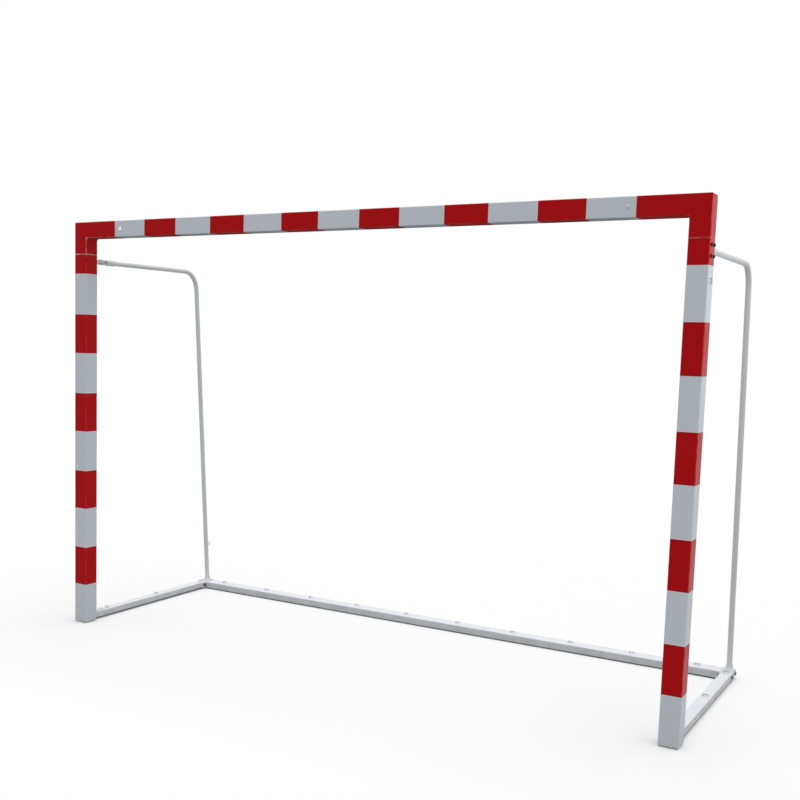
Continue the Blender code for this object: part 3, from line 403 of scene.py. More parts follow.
# %% Rubbed edges of a profile
RUB_FROM, RUB_TO = 0.0012, 0.0036
CHIP_WIDTH = 0.0030
MOST_CHIPS = 0.6
edge_group, inputs, results = new_group(
    "profile_edge_wear", ("Rub", "Chip"), Across=0.0, Up=0.0, Half_Width=0.04, Half_Height=0.04,
    Amount=0.5)
place = goal_place(edge_group)
left_across = minus(inputs["Half Width"], calc("ABSOLUTE", inputs["Across"]))
left_up = minus(inputs["Half Height"], calc("ABSOLUTE", inputs["Up"]))
from_edge = calc("MAXIMUM", left_across, left_up)
uneven = ramp(noise(place, 34.0, 4.0, 0.65), 0.35, 0.65)
rub = product(ramp(from_edge, RUB_FROM, RUB_TO, 1.0, 0.0), uneven)
spots = ramp(noise(place, 150.0, 2.0, 0.55), 0.60, 0.64)
rare = ramp(noise(place, 11.0, 2.0), 0.56, 0.66)
close = ramp(from_edge, 0.0, CHIP_WIDTH, 1.0, 0.0)
wire(results,
     Rub=calc("MULTIPLY", rub, inputs["Amount"], clamp=True),
     Chip=product(spots, rare, close, calc("MINIMUM", inputs["Amount"], MOST_CHIPS)))

# %% [markdown]
# Where a corner piece meets a bar, the paint of both is rubbed through along the seam. The group
# gets the distance to the seam and breaks the line up with noise.

# %% Worn seams
SEAM_FROM, SEAM_TO = 0.0010, 0.0024
seam_group, inputs, results = new_group("worn_seam", ("Bare",), Distance=1.0, Amount=0.5)
patchy = ramp(noise(goal_place(seam_group), 28.0, 3.0), 0.30, 0.50, 0.35, 1.0)
line = ramp(calc("ABSOLUTE", inputs["Distance"]), SEAM_FROM, SEAM_TO, 1.0, 0.0)
wire(results, Bare=product(line, patchy, inputs["Amount"]))

# %% [markdown]
# A thin dust lies on what faces up. Upright faces stay clean, apart from the splashes of the first
# few centimetres above the ground, which also have specks in them. Undersides go dull, and painted
# shade darkens them in patches.

# %% Dust, and painted shade on dull undersides
DUST_ON_TOPS = 0.25
dust_group, inputs, results = new_group("settled_dust", ("Dust",), Amount=0.5, Ground_Height=0.15)
place = goal_place(dust_group)
upward = looks_up(dust_group)
facing_up = ramp(upward, 0.4, 0.95, 0.0, DUST_ON_TOPS)
low_down = ramp(split(place)["Z"], 0.0, inputs["Ground Height"], 1.0, 0.0)
splash = product(low_down, ramp(upward, 0.4, 0.8, 1.0, 0.0))
clouds = ramp(noise(place, 16.0, 5.0, 0.6), 0.30, 0.75)
specks = ramp(noise(place, 260.0, 2.0, 0.6), 0.62, 0.72, 0.0, 0.6)
cloudy = product(calc("ADD", facing_up, splash), clouds)
speckled = calc("ADD", cloudy, product(splash, specks))
wire(results, Dust=calc("MULTIPLY", speckled, inputs["Amount"], clamp=True))

# Painted shade: this mask darkens faces that look down, in patches; it also makes them dull.
underside_shade_group, inputs, results = new_group("dull_underside", ("Dull",), Patchiness=0.3)
patchy = ramp(noise(goal_place(underside_shade_group), 12.0, 4.0, 0.6), 0.30, 0.60, 1.0, 0.0)
shaded_share = minus(1.0, product(patchy, inputs["Patchiness"]))
wire(results, Dull=product(ramp(looks_up(underside_shade_group), -0.90, -0.60, 1.0, 0.0), shaded_share))

# %% [markdown]
# Moulded plastic and rubber show a fine pebble, which is what smooth Voronoi cells look like. Zinc
# and black oxide show a drawn grain under faint clouds, from noise that is stretched upwards.

# %% Grain of plastic and rubber, and of steel
GRAIN_STRETCH = (1.0, 1.0, 0.06)
pebble_group, inputs, results = new_group("pebble_grain", ("Height", "Tone"), Size=0.0006)
place = goal_place(pebble_group)
cells = add_node(pebble_group, "ShaderNodeTexVoronoi", feature="SMOOTH_F1")
wire(cells, Vector=place, Scale=calc("DIVIDE", 1.0, inputs["Size"]))
wire(results, Height=cells.outputs["Distance"], Tone=noise(place, 70.0, 4.0, 0.6))

plated_group, inputs, results = new_group("plated_grain", ("Height", "Tone", "Cloud"),
                                          Grain_Size=0.0004)
place = goal_place(plated_group)
fine = calc("DIVIDE", 1.0, inputs["Grain Size"])
wire(results,
     Height=noise(stretch(place, GRAIN_STRETCH), fine, 2.0),
     Tone=noise(place, 420.0, 3.0, 0.6),
     Cloud=noise(place, 45.0, 4.0, 0.6))

# %% [markdown]
# ## Finishes
#
# Every finish starts from a Principled shader. What varies over the surface comes from the groups,
# and what is the same all over is set on the shader itself. Each finish is made with the name of the
# goal's material slot that it stands for, which it prints.

# %% Finish tools
DUST_COLOUR = (0.52, 0.50, 0.47)


def new_finish(name, slot, roughness, metallic=0.0, specular=0.5):
    material = bpy.data.materials.new(name)
    material.use_nodes = True
    shader = material.node_tree.nodes["Principled BSDF"]
    wire(shader, Roughness=roughness, Metallic=metallic, Specular_IOR_Level=specular)
    print("finish:", name, "for", slot)
    return material, material.node_tree, shader


def finish_surface(shader, colour, rough, height, depth):
    """Wire what varies over the surface; depth is how many metres a height of 1 stands out."""
    bump = add_node(shader.id_data, "ShaderNodeBump")
    wire(bump, Distance=depth, Height=height)
    wire(shader, Normal=bump.outputs["Normal"], Base_Color=colour, Roughness=rough)


# %% [markdown]
# The same enamel serves the crossbar, the uprights and the red corners. Only the coordinates along,
# across and up the profile differ, so a short function picks them for each. On a corner, across is
# how far the nearest stretch of the L's outline is from the middle.

# %% Coordinates on the mouth
def along_bar(x, y, z):
    return x, minus(y, POST_Y), minus(z, BAR_Z)


def down_post(x, y, z):
    across = minus(calc("ABSOLUTE", x), POST_X)
    return minus(SEAM_Z, z), across, minus(y, POST_Y)


def round_corner(x, y, z):
    aside = calc("ABSOLUTE", x)
    to_outside = calc("MINIMUM", minus(OUTER_X, aside), minus(TOP_Z, z))
    to_inside = calc("MAXIMUM", minus(aside, OUTER_X - PROFILE),
                     minus(z, TOP_Z - PROFILE))
    across = minus(PROFILE / 2, calc("MINIMUM", to_outside, to_inside))
    return z, across, minus(y, POST_Y)


def by_side(x, left, right):
    """One value on the left half of the goal and another on the right."""
    return calc("MULTIPLY_ADD", calc("GREATER_THAN", x, 0.0), right - left, left)


# %% [markdown]
# The red and the white were read off the top and front faces of the goal in its picture. Their gloss
# is low: fresh enamel would mirror the white studio and turn the red milky. The enamel is laid in
# coats: the bands, the pale rub of the long edges, the bare seams, painted shade on the dull
# underside, chips down to the primer, and dust. The seams are barer on the left, as on the real
# goal.
# Faces that look down have no gloss, or the pale floor would light them up.

# %% Enamel of the mouth
ENAMEL_RED = (0.545, 0.0030, 0.0060)
ENAMEL_WHITE = (0.730, 0.785, 0.835)
WORN_RED = (0.860, 0.450, 0.400)
WORN_WHITE = (0.80, 0.82, 0.84)
DARK_RED = (0.260, 0.0015, 0.0030)
PALE_PINK = (0.980, 0.800, 0.800)
PRIMER = (0.42, 0.43, 0.44)
BARE_SEAM = (0.880, 0.700, 0.680)
# Painted shade, laid on undersides:
PAINTED_UNDERSIDE_SHADE = (0.13, 0.125, 0.12)
ENAMEL_SHEEN = 0.08
ENAMEL_ROUGH = 0.36
ENAMEL_DEPTH = 0.00006
RIDGE_HEIGHT, CHIP_DEPTH = 0.9, 2.0
VEIL_SHOWS, LIP_SHOWS, SCRATCH_SHOWS, RUB_SHOWS, PAINTED_SHADE_SHOWS = 0.90, 0.70, 0.25, 0.7, 0.45
SEAM_BARE_LEFT, SEAM_BARE_RIGHT = 1.0, 0.30


def banded(tree, spray, along, first_white, white_length, red_length):
    """Colour, worn colour and height of enamel with bands."""
    bands = use_group(tree, stripe_group, Along=along, First_White=first_white,
                      White_Length=white_length, Red_Length=red_length)
    white = mix_colour(product(bands["Veil"], VEIL_SHOWS), ENAMEL_WHITE, PALE_PINK)
    red = mix_colour(product(bands["Lip"], LIP_SHOWS), ENAMEL_RED, DARK_RED)
    worn = mix_colour(bands["Red"], WORN_WHITE, WORN_RED)
    height = calc("MULTIPLY_ADD", bands["Ridge"], RIDGE_HEIGHT, spray["Height"])
    return mix_colour(bands["Red"], white, red), worn, height


def make_mouth_enamel(name, slot, pick, bands=None, rub_and_highlight_left=0.3, rub_and_highlight_right=0.3):
    material, tree, shader = new_finish(name, slot, ENAMEL_ROUGH, specular=ENAMEL_SHEEN)
    x, y, z = split(goal_place(tree))
    along, across, up = pick(x, y, z)
    spray = use_group(tree, sprayed_group, Peel_Size=0.0028, Scratches=0.6)
    wear = use_group(tree, edge_group, Across=across, Up=up,
                     Amount=by_side(x, rub_and_highlight_left, rub_and_highlight_right))
    dust = use_group(tree, dust_group, Amount=0.16, Ground_Height=0.22)["Dust"]
    shade_and_dull = use_group(tree, underside_shade_group)["Dull"]
    from_seam = calc("MINIMUM", off(calc("ABSOLUTE", x), BAR_HALF), off(z, SEAM_Z))
    seam = use_group(tree, seam_group, Distance=from_seam,
                     Amount=by_side(x, SEAM_BARE_LEFT, SEAM_BARE_RIGHT))["Bare"]
    if bands:
        colour, worn, height = banded(tree, spray, along, *bands)
    else:
        colour = mix_colour(product(spray["Scratch"], SCRATCH_SHOWS), ENAMEL_RED, WORN_RED)
        worn = mix_colour(dust, WORN_RED, DUST_COLOUR)
        height = spray["Height"]
    # Over the colour: the pale rub, the bare seams, painted shade on undersides, primer chips and
    # dust.
    colour = lay_over(colour, (product(wear["Rub"], RUB_SHOWS), worn), (seam, BARE_SEAM),
                      (product(shade_and_dull, PAINTED_SHADE_SHOWS), PAINTED_UNDERSIDE_SHADE), (wear["Chip"], PRIMER),
                      (dust, DUST_COLOUR))
    rough = build_up(ENAMEL_ROUGH, (spray["Roughness Shift"], 1.0), (wear["Rub"], 0.25),
                     (shade_and_dull, 0.5), (dust, 0.5))
    height = calc("MULTIPLY_ADD", wear["Chip"], -CHIP_DEPTH, height)
    finish_surface(shader, colour, rough, height, ENAMEL_DEPTH)
    not_below = ramp(looks_up(tree), -0.90, -0.60)
    wire(shader, Specular_IOR_Level=product(not_below, ENAMEL_SHEEN))
    return material


# %% [markdown]
# The bands are laid out as a painter would: the crossbar's outermost white ones are narrower, and
# the red ones share what the white leaves; a post starts with the rest of the corner's red.

# %% Lengths of the stripes
BAR_WHITE = 0.2100
BAR_END_WHITE = 0.1920
BAR_REDS = 6
BAR_RED = (2 * (BAR_HALF - BAR_END_WHITE) - (BAR_REDS - 1) * BAR_WHITE) / BAR_REDS
BAR_FIRST_WHITE = BAR_END_WHITE - BAR_WHITE - BAR_HALF
POST_RED_BELOW_SEAM = 0.098
POST_WHITE = 0.2065
POST_REDS = 4
POST_RED = (SEAM_Z - POST_RED_BELOW_SEAM - (POST_REDS + 1) * POST_WHITE) / POST_REDS
bar_enamel = make_mouth_enamel("crossbar_enamel", "striped_enamel", along_bar,
                               (BAR_FIRST_WHITE, BAR_WHITE, BAR_RED))
post_enamel = make_mouth_enamel("upright_enamel", "striped_enamel", down_post,
                                (POST_RED_BELOW_SEAM, POST_WHITE, POST_RED))
# On the left corner the pale rub of the long edges is raised: partly wear, partly a painted
# highlight along the arris.
corner_enamel = make_mouth_enamel("corner_enamel", "red_enamel", round_corner,
                                  rub_and_highlight_left=1.5, rub_and_highlight_right=0.2)
print("red stripes of the bar", round(BAR_RED, 5), "of the posts", round(POST_RED, 5))

# %% [markdown]
# The ground frame and the tubes have a plainer, slightly lighter white: powder coat. The tubes and
# small parts take a white a touch darker and less blue than the bars'; the darker tone is painted
# shade. The coat is scuffed along the bars' edges and splashed near the ground, because people step
# on it. Round and small pieces have no long edge, and coordinates of 0 keep the wear group quiet.

# %% Powder coat of the frame
FRAME_WHITE = (0.800, 0.830, 0.875)
# Painted shade: a touch darker than the frame's white
TUBE_WHITE_PAINTED_SHADE = (0.775, 0.805, 0.820)
SCUFF = (0.50, 0.50, 0.49)
CHIPPED_COAT = (0.20, 0.19, 0.18)
COAT_ROUGH = 0.42
COAT_SHEEN = 0.12
COAT_DEPTH = 0.00007
COAT_SCRATCH_SHOWS, COAT_RUB_SHOWS = 0.5, 0.45


def make_frame_coat(name, base, pick, width, height, wear_amount):
    material, tree, shader = new_finish(name, "white_frame_enamel", COAT_ROUGH, specular=COAT_SHEEN)
    across, up = pick(*split(goal_place(tree)))
    spray = use_group(tree, sprayed_group, Peel_Size=0.0016, Scratches=0.9)
    wear = use_group(tree, edge_group, Across=across, Up=up, Half_Width=width / 2,
                     Half_Height=height / 2, Amount=wear_amount)
    dust = use_group(tree, dust_group, Amount=0.42, Ground_Height=0.10)["Dust"]
    colour = lay_over(base, (product(spray["Scratch"], COAT_SCRATCH_SHOWS), SCUFF),
                      (product(wear["Rub"], COAT_RUB_SHOWS), SCUFF), (wear["Chip"], CHIPPED_COAT),
                      (dust, DUST_COLOUR))
    rough = build_up(COAT_ROUGH, (spray["Roughness Shift"], 1.0), (dust, 0.4))
    bumps = calc("MULTIPLY_ADD", wear["Chip"], -CHIP_DEPTH, spray["Height"])
    finish_surface(shader, colour, rough, bumps, COAT_DEPTH)
    return material


def across_rear(x, y, z):
    return minus(y, REAR_MID_Y), minus(z, REAR_Z)


def across_side(x, y, z):
    return minus(calc("ABSOLUTE", x), POST_X), minus(z, SIDE_Z)


def no_edges(x, y, z):
    return 0.0, 0.0


rear_coat = make_frame_coat("rear_bar_coat", FRAME_WHITE, across_rear, REAR_WIDTH, REAR_HEIGHT, 0.8)
side_coat = make_frame_coat("side_bar_coat", FRAME_WHITE, across_side, SIDE_WIDTH, SIDE_HEIGHT, 0.8)
plain_coat = make_frame_coat("frame_coat", TUBE_WHITE_PAINTED_SHADE, no_edges, PROFILE, PROFILE, 0.4)

# %% [markdown]
# Zinc comes in three tones: plain on pins and sleeves, darker on the hooks, where the dark is
# painted shade, and still bright on the left screw of the crossbar. Screws, bolts and nuts have
# black oxide, whose corners have rubbed bright. Pointiness finds the corners, which these small,
# finely built pieces have enough points for.

# %% Steel
STEEL_DEPTH = 0.00002


def make_steel(name, slot, colour, cloudy, bright_edges, roughness, metallic=1.0):
    material, tree, shader = new_finish(name, slot, roughness, metallic)
    plated = use_group(tree, plated_group)
    dust = use_group(tree, dust_group, Amount=0.22, Ground_Height=0.12)["Dust"]
    worn = add_node(tree, "ShaderNodeNewGeometry").outputs["Pointiness"]
    edge = product(ramp(worn, 0.53, 0.60), ramp(plated["Tone"], 0.35, 0.60))
    tone = mix_colour(ramp(plated["Cloud"], 0.30, 0.72), colour, cloudy)
    tone = lay_over(tone, (edge, bright_edges), (dust, DUST_COLOUR))
    rough = build_up(roughness - 0.11, (plated["Tone"], 0.22), (dust, 0.4))
    finish_surface(shader, tone, rough, plated["Height"], STEEL_DEPTH)
    return material


zinc = make_steel("zinc_plate", "zinc_plated_steel", (0.60, 0.61, 0.62), (0.46, 0.48, 0.50),
                  (0.72, 0.73, 0.74), 0.34)
# Painted shade: the hooks' zinc is darkened
hook_zinc_painted_shade = make_steel("hook_wire_zinc", "zinc_plated_steel", (0.38, 0.39, 0.40),
                       (0.26, 0.27, 0.28), (0.62, 0.63, 0.64), 0.40)
bright_zinc = make_steel("bright_zinc", "zinc_plated_steel", (0.88, 0.89, 0.90), (0.76, 0.77, 0.79),
                         (0.92, 0.92, 0.93), 0.32)
black_oxide = make_steel("black_oxide", "blackened_steel", (0.016, 0.016, 0.017),
                         (0.030, 0.028, 0.027), (0.20, 0.20, 0.20), 0.40, metallic=0.85)

# %% [markdown]
# Caps, washers and pads are moulded: a pebbled surface in one colour that has faded in places. The
# caps also have a painted highlight: a paler colour in patches low down on their rim.

# %% Plastic and rubber
# Heights of the painted highlight on the caps' rim
HIGHLIGHT_RIM_LOW, HIGHLIGHT_RIM_HIGH = 0.0090, 0.0120


def make_moulded(name, slot, colour, faded, roughness, grain, depth, specular=0.4, dusty=0.35,
                 painted_highlight_rim=None):
    material, tree, shader = new_finish(name, slot, roughness, specular=specular)
    pebble = use_group(tree, pebble_group, Size=grain)
    dust = use_group(tree, dust_group, Amount=dusty, Ground_Height=0.08)["Dust"]
    tone = mix_colour(ramp(pebble["Tone"], 0.35, 0.70), colour, faded)
    tone = mix_colour(dust, tone, DUST_COLOUR)
    # Painted highlight: a paler colour in patches low on the rim
    if painted_highlight_rim:
        place = goal_place(tree)
        low = ramp(split(place)["Z"], HIGHLIGHT_RIM_LOW, HIGHLIGHT_RIM_HIGH, 1.0, 0.0)
        patchy = ramp(noise(place, 55.0, 3.0), 0.36, 0.52)
        tone = mix_colour(product(low, patchy), tone, painted_highlight_rim)
    rough = build_up(roughness - 0.10, (pebble["Tone"], 0.20), (dust, 0.3))
    finish_surface(shader, tone, rough, pebble["Height"], depth)
    return material


cap_plastic = make_moulded("cap_plastic", "grey_white_plastic", (0.74, 0.77, 0.80),
                           (0.62, 0.64, 0.65), 0.50, 0.0009, 0.00003,
                           painted_highlight_rim=(0.94, 0.95, 0.96))
nylon = make_moulded("black_nylon", "black_nylon", (0.012, 0.012, 0.013), (0.020, 0.020, 0.021),
                     0.46, 0.0007, 0.00003)
rubber = make_moulded("pad_rubber", "black_rubber", (0.018, 0.018, 0.018), (0.040, 0.039, 0.037),
                      0.80, 0.0012, 0.00008, specular=0.25, dusty=0.6)

# %% [markdown]
# ## Mesh tools
#
# Nearly everything on a goal is one of three things: a section that runs along a line (bars, caps,
# pads), a shape turned about an axis (screws, pins, collars), or a round wire or tube that follows a
# path (hooks, supports, weld beads). Here each is a shape: rings of points, and whether the last
# ring joins the first. Shapes are built into a mesh, and that becomes a piece that rides on a body
# and stands for the plain solids it covers.

# %% Places, meshes and pieces
SHARP_ANGLE = math.radians(38)


def shift(x, y, z):
    return Matrix.Translation((x, y, z))


def standing(x, y, z, z_axis, x_axis):
    """A place whose own Z and X point along two given directions."""
    y_axis = Vector(z_axis).cross(Vector(x_axis))
    return shift(x, y, z) @ Matrix((x_axis, y_axis, z_axis)).transposed().to_4x4()


def build(*shapes):
    """A bmesh of shapes, with faces between each ring and the next."""
    bm = bmesh.new()
    for rings, around in shapes:
        rings = [[bm.verts.new(point) for point in ring] for ring in rings]
        for lower, upper in zip(rings, rings[1:] + rings[:around]):
            for index in range(len(lower)):
                after = (index + 1) % len(lower)
                bm.faces.new((lower[index], lower[after], upper[after], upper[index]))
        if not around:
            bm.faces.new(rings[0])
            bm.faces.new(rings[-1])
    return bm


def solid(name, bm):
    """An object of a bmesh that shades smooth up to the sharp angle."""
    bmesh.ops.recalc_face_normals(bm, faces=bm.faces)
    for edge in bm.edges:
        edge.smooth = edge.calc_face_angle(0.0) < SHARP_ANGLE
    for face in bm.faces:
        face.smooth = True
    mesh = bpy.data.meshes.new(name)
    bm.to_mesh(mesh)
    bm.free()
    return add_object(name, mesh)


def add_piece(name, bm, body, material, *nodes):
    piece = solid(name, bm)
    piece.data.materials.append(material)
    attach(piece, body)
    if nodes:
        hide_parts(*nodes)
    print("piece:", name, len(piece.data.polygons), "faces on", body)
    return piece


# %% [markdown]
# A tube or bar is a stack of rounded rectangles. A cube with a bevel would give the outside, but not
# the hollow ends and the eased rim that catches the light at each seam. A point beside each rounding
# keeps the flats shading flat.

# %% Sections along a line
EASE = 0.0004
ARC_STEPS = 6
ALONG_X = ((1, 0, 0), (0, 1, 0))
ALONG_Y = ((0, 1, 0), (1, 0, 0))


def rounded_section(width, height, radius, inset=0.0):
    """Points round a rounded rectangle that is drawn in by an inset."""
    radius = max(radius - inset, EASE)
    reach_x = width / 2 - inset - radius
    reach_y = height / 2 - inset - radius
    points = []
    for quarter, (side_x, side_y) in enumerate(((1, 1), (-1, 1), (-1, -1), (1, -1))):
        turn = quarter * math.pi / 2
        arc = []
        for step in range(ARC_STEPS + 1):
            angle = turn + step * math.pi / 2 / ARC_STEPS
            arc.append(Vector((side_x * reach_x + radius * math.cos(angle),
                               side_y * reach_y + radius * math.sin(angle))))
        before = Vector((math.sin(turn), -math.cos(turn))) * EASE
        after = Vector((-math.cos(turn), -math.sin(turn))) * EASE
        points += [arc[0] + before, *arc, arc[-1] + after]
    return points


def stack(place, levels, section, wall=0.0):
    """A section (width, height, radius) at (height, inset) levels; hollow if there is a wall."""
    if wall:
        levels = [*levels, (levels[-1][0], wall), (levels[0][0], wall)]
    return [[place @ Vector((*point, level)) for point in rounded_section(*section, inset)]
            for level, inset in levels], bool(wall)


def eased(low, high, edge=EASE):
    """Levels of a plain length whose two ends are eased."""
    return [(low, edge), (low + edge, 0.0), (high - edge, 0.0), (high, edge)]


# %% [markdown]
# Screws, pins and collars are drawn as half of their section and turned about an axis. A radius that
# is a function of the angle makes a hexagon or a knurl with the same tool.

# %% Turned shapes
def turned(place, profile, sides=48, around=False):
    """Turn (radius, height) points about the place's Z; either may be a function of the angle."""
    rings = []
    for radius, height in profile:
        ring = []
        for index in range(sides):
            angle = 2 * math.pi * index / sides
            r = radius(angle) if callable(radius) else radius
            h = height(angle) if callable(height) else height
            ring.append(place @ Vector((r * math.cos(angle), r * math.sin(angle), h)))
        rings.append(ring)
    return rings, around


def hexagon(flats):
    """Radius of a hexagon at an angle; its corners lie at 30 degrees and every 60 on."""
    def radius(angle):
        off_flat = (angle + math.pi / 6) % (math.pi / 3) - math.pi / 6
        return flats / 2 / math.cos(off_flat)
    return radius


# %% [markdown]
# Hooks and supports are round bars that follow a path: straight runs whose corners are rounded with
# one radius. A curve with a bevel would do for a straight tube, but a list of points also gives
# domed tips and a thickness that changes on the way, which the weld beads need.

# %% Round bars along a path
DOME_ANGLES = [math.radians(angle) for angle in (22, 45, 66, 82)]


def rounded_path(points, bend, steps=8):
    points = [Vector(point) for point in points]
    path = [points[0]]
    for before, corner, after in zip(points, points[1:], points[2:]):
        back = (before - corner).normalized()
        ahead = (after - corner).normalized()
        half = back.angle(ahead) / 2
        reach = bend / math.tan(half)
        centre = corner + (back + ahead).normalized() * bend / math.sin(half)
        first = corner + back * reach - centre
        last = corner + ahead * reach - centre
        axis = first.cross(last).normalized()
        for step in range(steps + 1):
            turn = Matrix.Rotation(first.angle(last) * step / steps, 3, axis)
            path.append(centre + turn @ first)
    return [*path, points[-1]]


def domed(path, radii):
    """Stations that round off the last point of a path."""
    out = (path[-1] - path[-2]).normalized()
    return [(path[-1] + out * radii[-1] * math.sin(angle), radii[-1] * math.cos(angle))
            for angle in DOME_ANGLES]


def swept(path, radius, sides, domes=(True, True), lumps=None):
    """A circle run along a path, with domed or plain ends; lumps scale the radius at each point."""
    radii = [radius * lump for lump in lumps or [1.0] * len(path)]
    stations = list(zip(path, radii))
    if domes[0]:
        stations = domed(path[::-1], radii[::-1])[::-1] + stations
    if domes[1]:
        stations += domed(path, radii)
    places = [place for place, size in stations]
    normal = (places[1] - places[0]).orthogonal().normalized()
    rings = []
    for index, (place, size) in enumerate(stations):
        ahead = places[min(index + 1, len(places) - 1)]
        behind = places[max(index - 1, 0)]
        tangent = (ahead - behind).normalized()
        normal = (normal - tangent * normal.dot(tangent)).normalized()
        side = tangent.cross(normal)
        angles = [2 * math.pi * step / sides for step in range(sides)]
        rings.append([place + (normal * math.cos(angle) + side * math.sin(angle)) * size
                      for angle in angles])
    return rings, False


# %% [markdown]
# A weld is a bead with a ripple for each drop of metal. Two sines of different pitch make ripples
# that never look stamped, and a phase sets each bead apart from the next. A bead lies round a rod
# that stands on a surface, or along a straight seam.

# %% Weld beads
def ring_bead(place, radius, thick, phase, sides):
    rings = []
    for index in range(sides):
        angle = 2 * math.pi * index / sides
        lump = 1.0 + 0.16 * math.sin(9 * angle + phase) + 0.10 * math.sin(4 * angle + 2.3 * phase)
        size = thick * lump
        ring = []
        for step in range(8):
            tilt = 2 * math.pi * step / 8
            out = radius + size * math.cos(tilt)
            rise = size * 0.8 * math.sin(tilt)
            ring.append(place @ Vector((out * math.cos(angle), out * math.sin(angle), rise)))
        rings.append(ring)
    return rings, True


def bead(start, end, size, phase=0.0):
    start = Vector(start)
    end = Vector(end)
    count = max(6, int((end - start).length / (size * 0.42)))
    path = [start.lerp(end, index / count) for index in range(count + 1)]
    lumps = [1.0 + 0.13 * math.sin(index * 2.1 + phase) + 0.07 * math.sin(index * 0.6 + 2 * phase)
             for index in range(count + 1)]
    return swept(path, size, 10, lumps=lumps)


# %% [markdown]
# Tongues, brackets and ribbed pads are plates: an outline that is given a thickness. The rims are
# eased by moving each point of the outline inwards along its corner.

# %% Plates
SHARPEST = 0.35


def plate(place, outline, half_thick, edge):
    outline = [Vector(point) for point in outline]
    inner = []
    for before, here, after in zip(outline[-1:] + outline, outline, outline[1:] + outline[:1]):
        first = (here - before).normalized()
        second = (after - here).normalized()
        normal_one = Vector((-first.y, first.x))
        middle = (normal_one + Vector((-second.y, second.x))).normalized()
        inner.append(here + middle * edge / max(SHARPEST, middle.dot(normal_one)))
    levels = [(-half_thick, inner), (edge - half_thick, outline), (half_thick - edge, outline),
              (half_thick, inner)]
    return [[place @ Vector((*point, level)) for point in line] for level, line in levels], False


# %% [markdown]
# ## Crossbar and uprights
#
# These are square steel tubes of 80 mm with rounded edges. The section is drawn once and run along
# each tube, which ends a hair's breadth before its corner piece, so that the seam shows.

# %% Crossbar and uprights
PROFILE_WALL = 0.003
PROFILE_EDGE = 0.004
SEAM_EDGE = 0.0007
SQUARE = (PROFILE, PROFILE, PROFILE_EDGE)

levels = eased(GAP - BAR_HALF, BAR_HALF - GAP, SEAM_EDGE)
tube = stack(standing(0.0, POST_Y, BAR_Z, *ALONG_X), levels, SQUARE, PROFILE_WALL)
add_piece("crossbar_profile", build(tube), STANDING, bar_enamel, "crossbar")

levels = eased(POST_FOOT_Z, SEAM_Z - GAP, SEAM_EDGE)
for side, label in SIDES:
    tube = stack(shift(side * POST_X, POST_Y, 0.0), levels, SQUARE, PROFILE_WALL)
    add_piece(f"{label}_upright_profile", build(tube), STANDING, post_enamel, f"{label}_upright")

# %% [markdown]
# ## Corner pieces
#
# A corner is the same section led round a right angle: tight outside, with a small fillet inside.
# Each point of the section follows its own path, whose turn is wider the nearer it is to the inside.
# The stations run up the leg and along the arm on the outside of the wall, and back on its inside,
# so one loop of rings makes the whole L.

# %% Corner pieces
CORNER_OUTER_R = 0.004
CORNER_FILLET = 0.014
CORNER_STEPS = 8
ARM = OUTER_X - BAR_HALF
LEG = TOP_Z - SEAM_Z
TURN_ROOM = PROFILE + CORNER_FILLET + EASE
TURN = [("leg", TURN_ROOM), *(("turn", step) for step in range(CORNER_STEPS + 1)),
        ("arm", TURN_ROOM)]
STATIONS = [
    ("leg", LEG, SEAM_EDGE), ("leg", LEG - SEAM_EDGE, 0.0), *[(*station, 0.0) for station in TURN],
    ("arm", ARM - SEAM_EDGE, 0.0), ("arm", ARM, SEAM_EDGE), ("arm", ARM, PROFILE_WALL),
    *[(*station, PROFILE_WALL) for station in reversed(TURN)], ("leg", LEG, PROFILE_WALL),
]


def corner_spot(kind, value, offset):
    """Distance in from the outer side and down from the top, at a station along the L."""
    if kind == "leg":
        return offset, value
    if kind == "arm":
        return value, offset
    radius = CORNER_OUTER_R + (CORNER_FILLET - CORNER_OUTER_R) * offset / PROFILE
    angle = math.pi / 2 * value / CORNER_STEPS
    centre = offset + radius
    return centre - radius * math.cos(angle), centre - radius * math.sin(angle)


for side, label in SIDES:
    rings = []
    for kind, value, inset in STATIONS:
        ring = []
        for across, deep in rounded_section(*SQUARE, inset):
            inwards, down = corner_spot(kind, value, across + PROFILE / 2)
            ring.append((side * (OUTER_X - inwards), POST_Y + deep, TOP_Z - down))
        rings.append(ring)
    add_piece(f"{label}_corner_shell", build((rings, True)), STANDING, corner_enamel,
              f"{label}_corner")

# %% [markdown]
# ## Net hooks
#
# A net hangs on small hooks of 4 mm wire: out of the profile, along it, and back towards it, with a
# gap for the cord at the tip. They are welded on, and their zinc is darkened with painted shade. The
# wire follows a rounded path, and a lumpy ring of weld closes its root.

# %% Hook tools
WIRE_R = 0.0020
WIRE_BEND = 0.0035
HOOK_SINK = 0.0015
HOOK_SPAN = 0.022
HOOK_RISE = 0.009
HOOK_TIP = 0.0030
HOOK_WELD = 0.0011
WELD_ROOM = 0.0002
RIGHTWARDS, BACKWARDS = (1, 0, 0), (0, 1, 0)
UPWARDS, DOWNWARDS = (0, 0, 1), (0, 0, -1)


def hook(root, out, along, phase, span=HOOK_SPAN, rise=HOOK_RISE, tip=HOOK_TIP):
    root, out, along = Vector(root), Vector(out), Vector(along)
    corners = [root - out * HOOK_SINK, root + out * rise, root + out * rise + along * span,
               root + along * span + out * (tip + WIRE_R)]
    return (swept(rounded_path(corners, WIRE_BEND), WIRE_R, 14, (False, True)),
            ring_bead(standing(*root, out, along), WIRE_R + WELD_ROOM, HOOK_WELD, phase, 24))


def add_hooks(name, body, roots, out, along, ripple=0.0, **shape):
    """One piece of equal hooks; the ripple keeps their welds from looking alike."""
    shapes = []
    for number, root in enumerate(roots):
        shapes += hook(root, out, along, number * ripple, **shape)
    add_piece(name, build(*shapes), body, hook_zinc_painted_shade)


